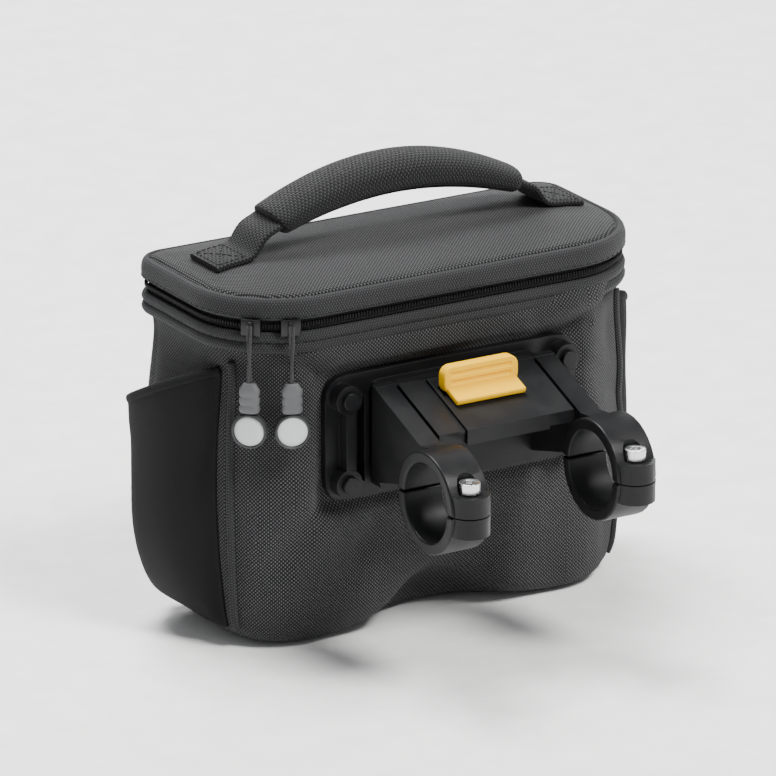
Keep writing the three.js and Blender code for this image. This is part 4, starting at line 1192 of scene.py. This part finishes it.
# %% Discs
def turned(name, profile, place, material, replaced=(), steps=40):
    """A round piece: the profile is [radius, depth] and spins about the line that points out."""
    bm = bmesh.new()
    ring = [bm.verts.new(Vector((r * MM, d * MM, 0))) for r, d in profile]
    edges = [bm.edges.new((a, b)) for a, b in zip(ring, ring[1:])]
    bmesh.ops.spin(bm, geom=ring + edges, cent=(0, 0, 0), axis=(0, 1, 0), angle=2 * math.pi, steps=steps,
                   use_merge=True)
    bmesh.ops.remove_doubles(bm, verts=bm.verts, dist=1e-6)
    bmesh.ops.transform(bm, matrix=place, verts=bm.verts)
    bmesh.ops.recalc_face_normals(bm, faces=bm.faces)
    return dress(mesh_object(name, bm), material, replaced, smooth=40)


DISC_HEIGHT = 96.1 * MM
DISC_RIM = [(0, -1.6), (5.9, -1.6), (6.6, -1.9), (7.2, -1.2), (7.25, 0.9), (6.9, 1.7), (6.5, 1.85),
            (6.15, 1.6), (6.1, 0.7), (0, 0.7)]
DISC_FACE = [(0, 0.8), (6.0, 0.8), (6.05, 1.1), (5.7, 1.45), (4.0, 1.75), (2.0, 1.9), (0, 1.95)]
for label, turn in SLIDERS.items():
    place = corner_frame(turn, PULL_OUT, DISC_HEIGHT)
    turned(f"disc_rim_{label}", DISC_RIM, place, RIM_RUBBER, (f"pull_disc_{label}",))
    turned(f"disc_face_{label}", DISC_FACE, place, DISC)

# %% [markdown]
# ## Hard parts
# Receiver, bracket, clamps, screws, bolts and lever are right in shape, but moulded edges are
# never knife sharp. A welded copy of each solid has its flat facets joined and its hard edges
# bevelled, so that they catch the light as real mouldings do.


# %% Bevelled copies
def sharp_edges(bm, wanted=None, angle=30):
    """Hard edges of a mesh, or only those whose two ends both pass a test."""
    sharp = [e for e in bm.edges if len(e.link_faces) == 2 and e.calc_face_angle(0) > math.radians(angle)]
    return [e for e in sharp if wanted is None or all(wanted(v.co) for v in e.verts)]


def crisp_normals(mesh):
    """Lets large faces keep their own normals, so that only the bevels between them are shaded round."""
    faces_at = [[] for _ in mesh.vertices]
    for face in mesh.polygons:
        for i in face.vertices:
            faces_at[i].append(face)
    normals = []
    for face in mesh.polygons:
        for i in face.vertices:
            near = [f for f in faces_at[i] if f.normal.dot(face.normal) > 0.6]
            normals.append(sum((f.normal * f.area for f in near), Vector()).normalized())
    mesh.normals_split_custom_set(normals)


def edged_copy(name, node, material, bevel=0.35 * MM, rounder=()):
    """A welded, bevelled copy of a solid. Rounder holds tests and radii for its softer edges."""
    bm = merged(node)
    bmesh.ops.dissolve_limit(bm, angle_limit=math.radians(1.5), verts=bm.verts, edges=bm.edges)
    for wanted, radius in rounder:
        soften(bm, sharp_edges(bm, wanted), radius, 3)
    soften(bm, sharp_edges(bm, angle=32), bevel)
    bmesh.ops.triangulate(bm, faces=[f for f in bm.faces if len(f.verts) > 4])
    made = dress(mesh_object(name, bm), material, (node,), smooth=0)
    crisp_normals(made.data)
    return made


ARM_SIDE, CLAMP_INNER, CLAMP_OUTER, RECEIVER_FACE = 41.5 * MM, 29 * MM, 47 * MM, -41.8 * MM


def on_arm(p):
    return abs(abs(p.x) - ARM_SIDE) < 0.6 * MM


def on_clamp_side(p):
    return min(abs(abs(p.x) - CLAMP_OUTER), abs(abs(p.x) - CLAMP_INNER)) < 0.1 * MM


def on_receiver_face(p):
    return p.y < RECEIVER_FACE


edged_copy("receiver_moulding", "receiver_plate", BLACK_PLASTIC,
           rounder=[(on_receiver_face, 0.7 * MM)])
edged_copy("bracket_moulding", "bracket_frame", BLACK_PLASTIC,
           rounder=[(on_arm, 2.0 * MM), (on_clamp_side, 0.9 * MM)])
for side in ("left", "right"):
    edged_copy(f"clamp_moulding_{side}", f"clamp_base_{side}", BLACK_PLASTIC,
               rounder=[(on_clamp_side, 0.9 * MM)])
    edged_copy(f"bolt_head_{side}", f"clamp_bolt_{side}", STEEL, bevel=0.25 * MM)
for i in range(1, 5):
    edged_copy(f"screw_head_{i}", f"receiver_screw_{i}", BLACK_PLASTIC, bevel=0.3 * MM)

# %% [markdown]
# ## Release lever
# The thumb pad is a rounded plate with two finger grooves across it, and a lip at its foot lies
# along the sloped bracket. It is drawn afresh, because its edges are the softest of the hard
# parts. It rides on its own body, so it tips when it is pressed.

# %% Lever
lever_low, lever_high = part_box("release_lever")
PAD_THICK = 5 * MM
LIP_WIDE, LIP_THICK, LIP_SLOPE = 32 * MM, 2.6 * MM, math.radians(21)
GROOVES = [(0.34, 0.47), (0.64, 0.77)]
GROOVE_END = 13.6 * MM
pad_foot = lever_low.z + 2.4 * MM
pad_size = Vector((lever_high.x - lever_low.x, PAD_THICK, lever_high.z - pad_foot))
pad_middle = Vector((0, lever_high.y - PAD_THICK / 2, (lever_high.z + pad_foot) / 2))
bm = bmesh.new()
pad_place = Matrix.Translation(pad_middle) @ Matrix.Diagonal((*pad_size, 1))
bmesh.ops.create_cube(bm, size=1.0, matrix=pad_place)
corners = [e for e in bm.edges if abs(e.verts[0].co.y - e.verts[1].co.y) > 1 * MM]
soften(bm, corners, 4 * MM, 5)
for share in [share for pair in GROOVES for share in pair]:
    cut(bm, UP * (pad_foot + pad_size.z * share), UP)
for x in (-GROOVE_END, GROOVE_END):
    cut(bm, Vector((x, 0, 0)), Vector((1, 0, 0)))


def in_groove(face):
    middle = face.calc_center_median()
    share = (middle.z - pad_foot) / pad_size.z
    return face.normal.y < -0.9 and abs(middle.x) < GROOVE_END and any(a < share < b for a, b in GROOVES)


sunk = [f for f in bm.faces if in_groove(f)]
bmesh.ops.inset_region(bm, faces=sunk, thickness=0.35 * MM, depth=-0.7 * MM)
soften(bm, sharp_edges(bm, lambda p: p.y > pad_middle.y or p.y < pad_middle.y - 2 * MM, angle=60),
       0.7 * MM, 3)
lip_long = lever_high.y - PAD_THICK - lever_low.y + 1.5 * MM
lip_y = (lever_low.y + lever_high.y - PAD_THICK + 0.5 * MM) / 2
lip_place = Matrix.Translation((0, lip_y, lever_low.z + 2.9 * MM)) @ Matrix.Rotation(LIP_SLOPE, 4, "X")
edged_block(bm, (LIP_WIDE, lip_long, LIP_THICK), lip_place, 0.8 * MM, 3)
bmesh.ops.recalc_face_normals(bm, faces=bm.faces)
lever = mesh_object("lever_moulding", bm)
dress(lever, AMBER, ("release_lever",), "lever", smooth=0)
crisp_normals(lever.data)
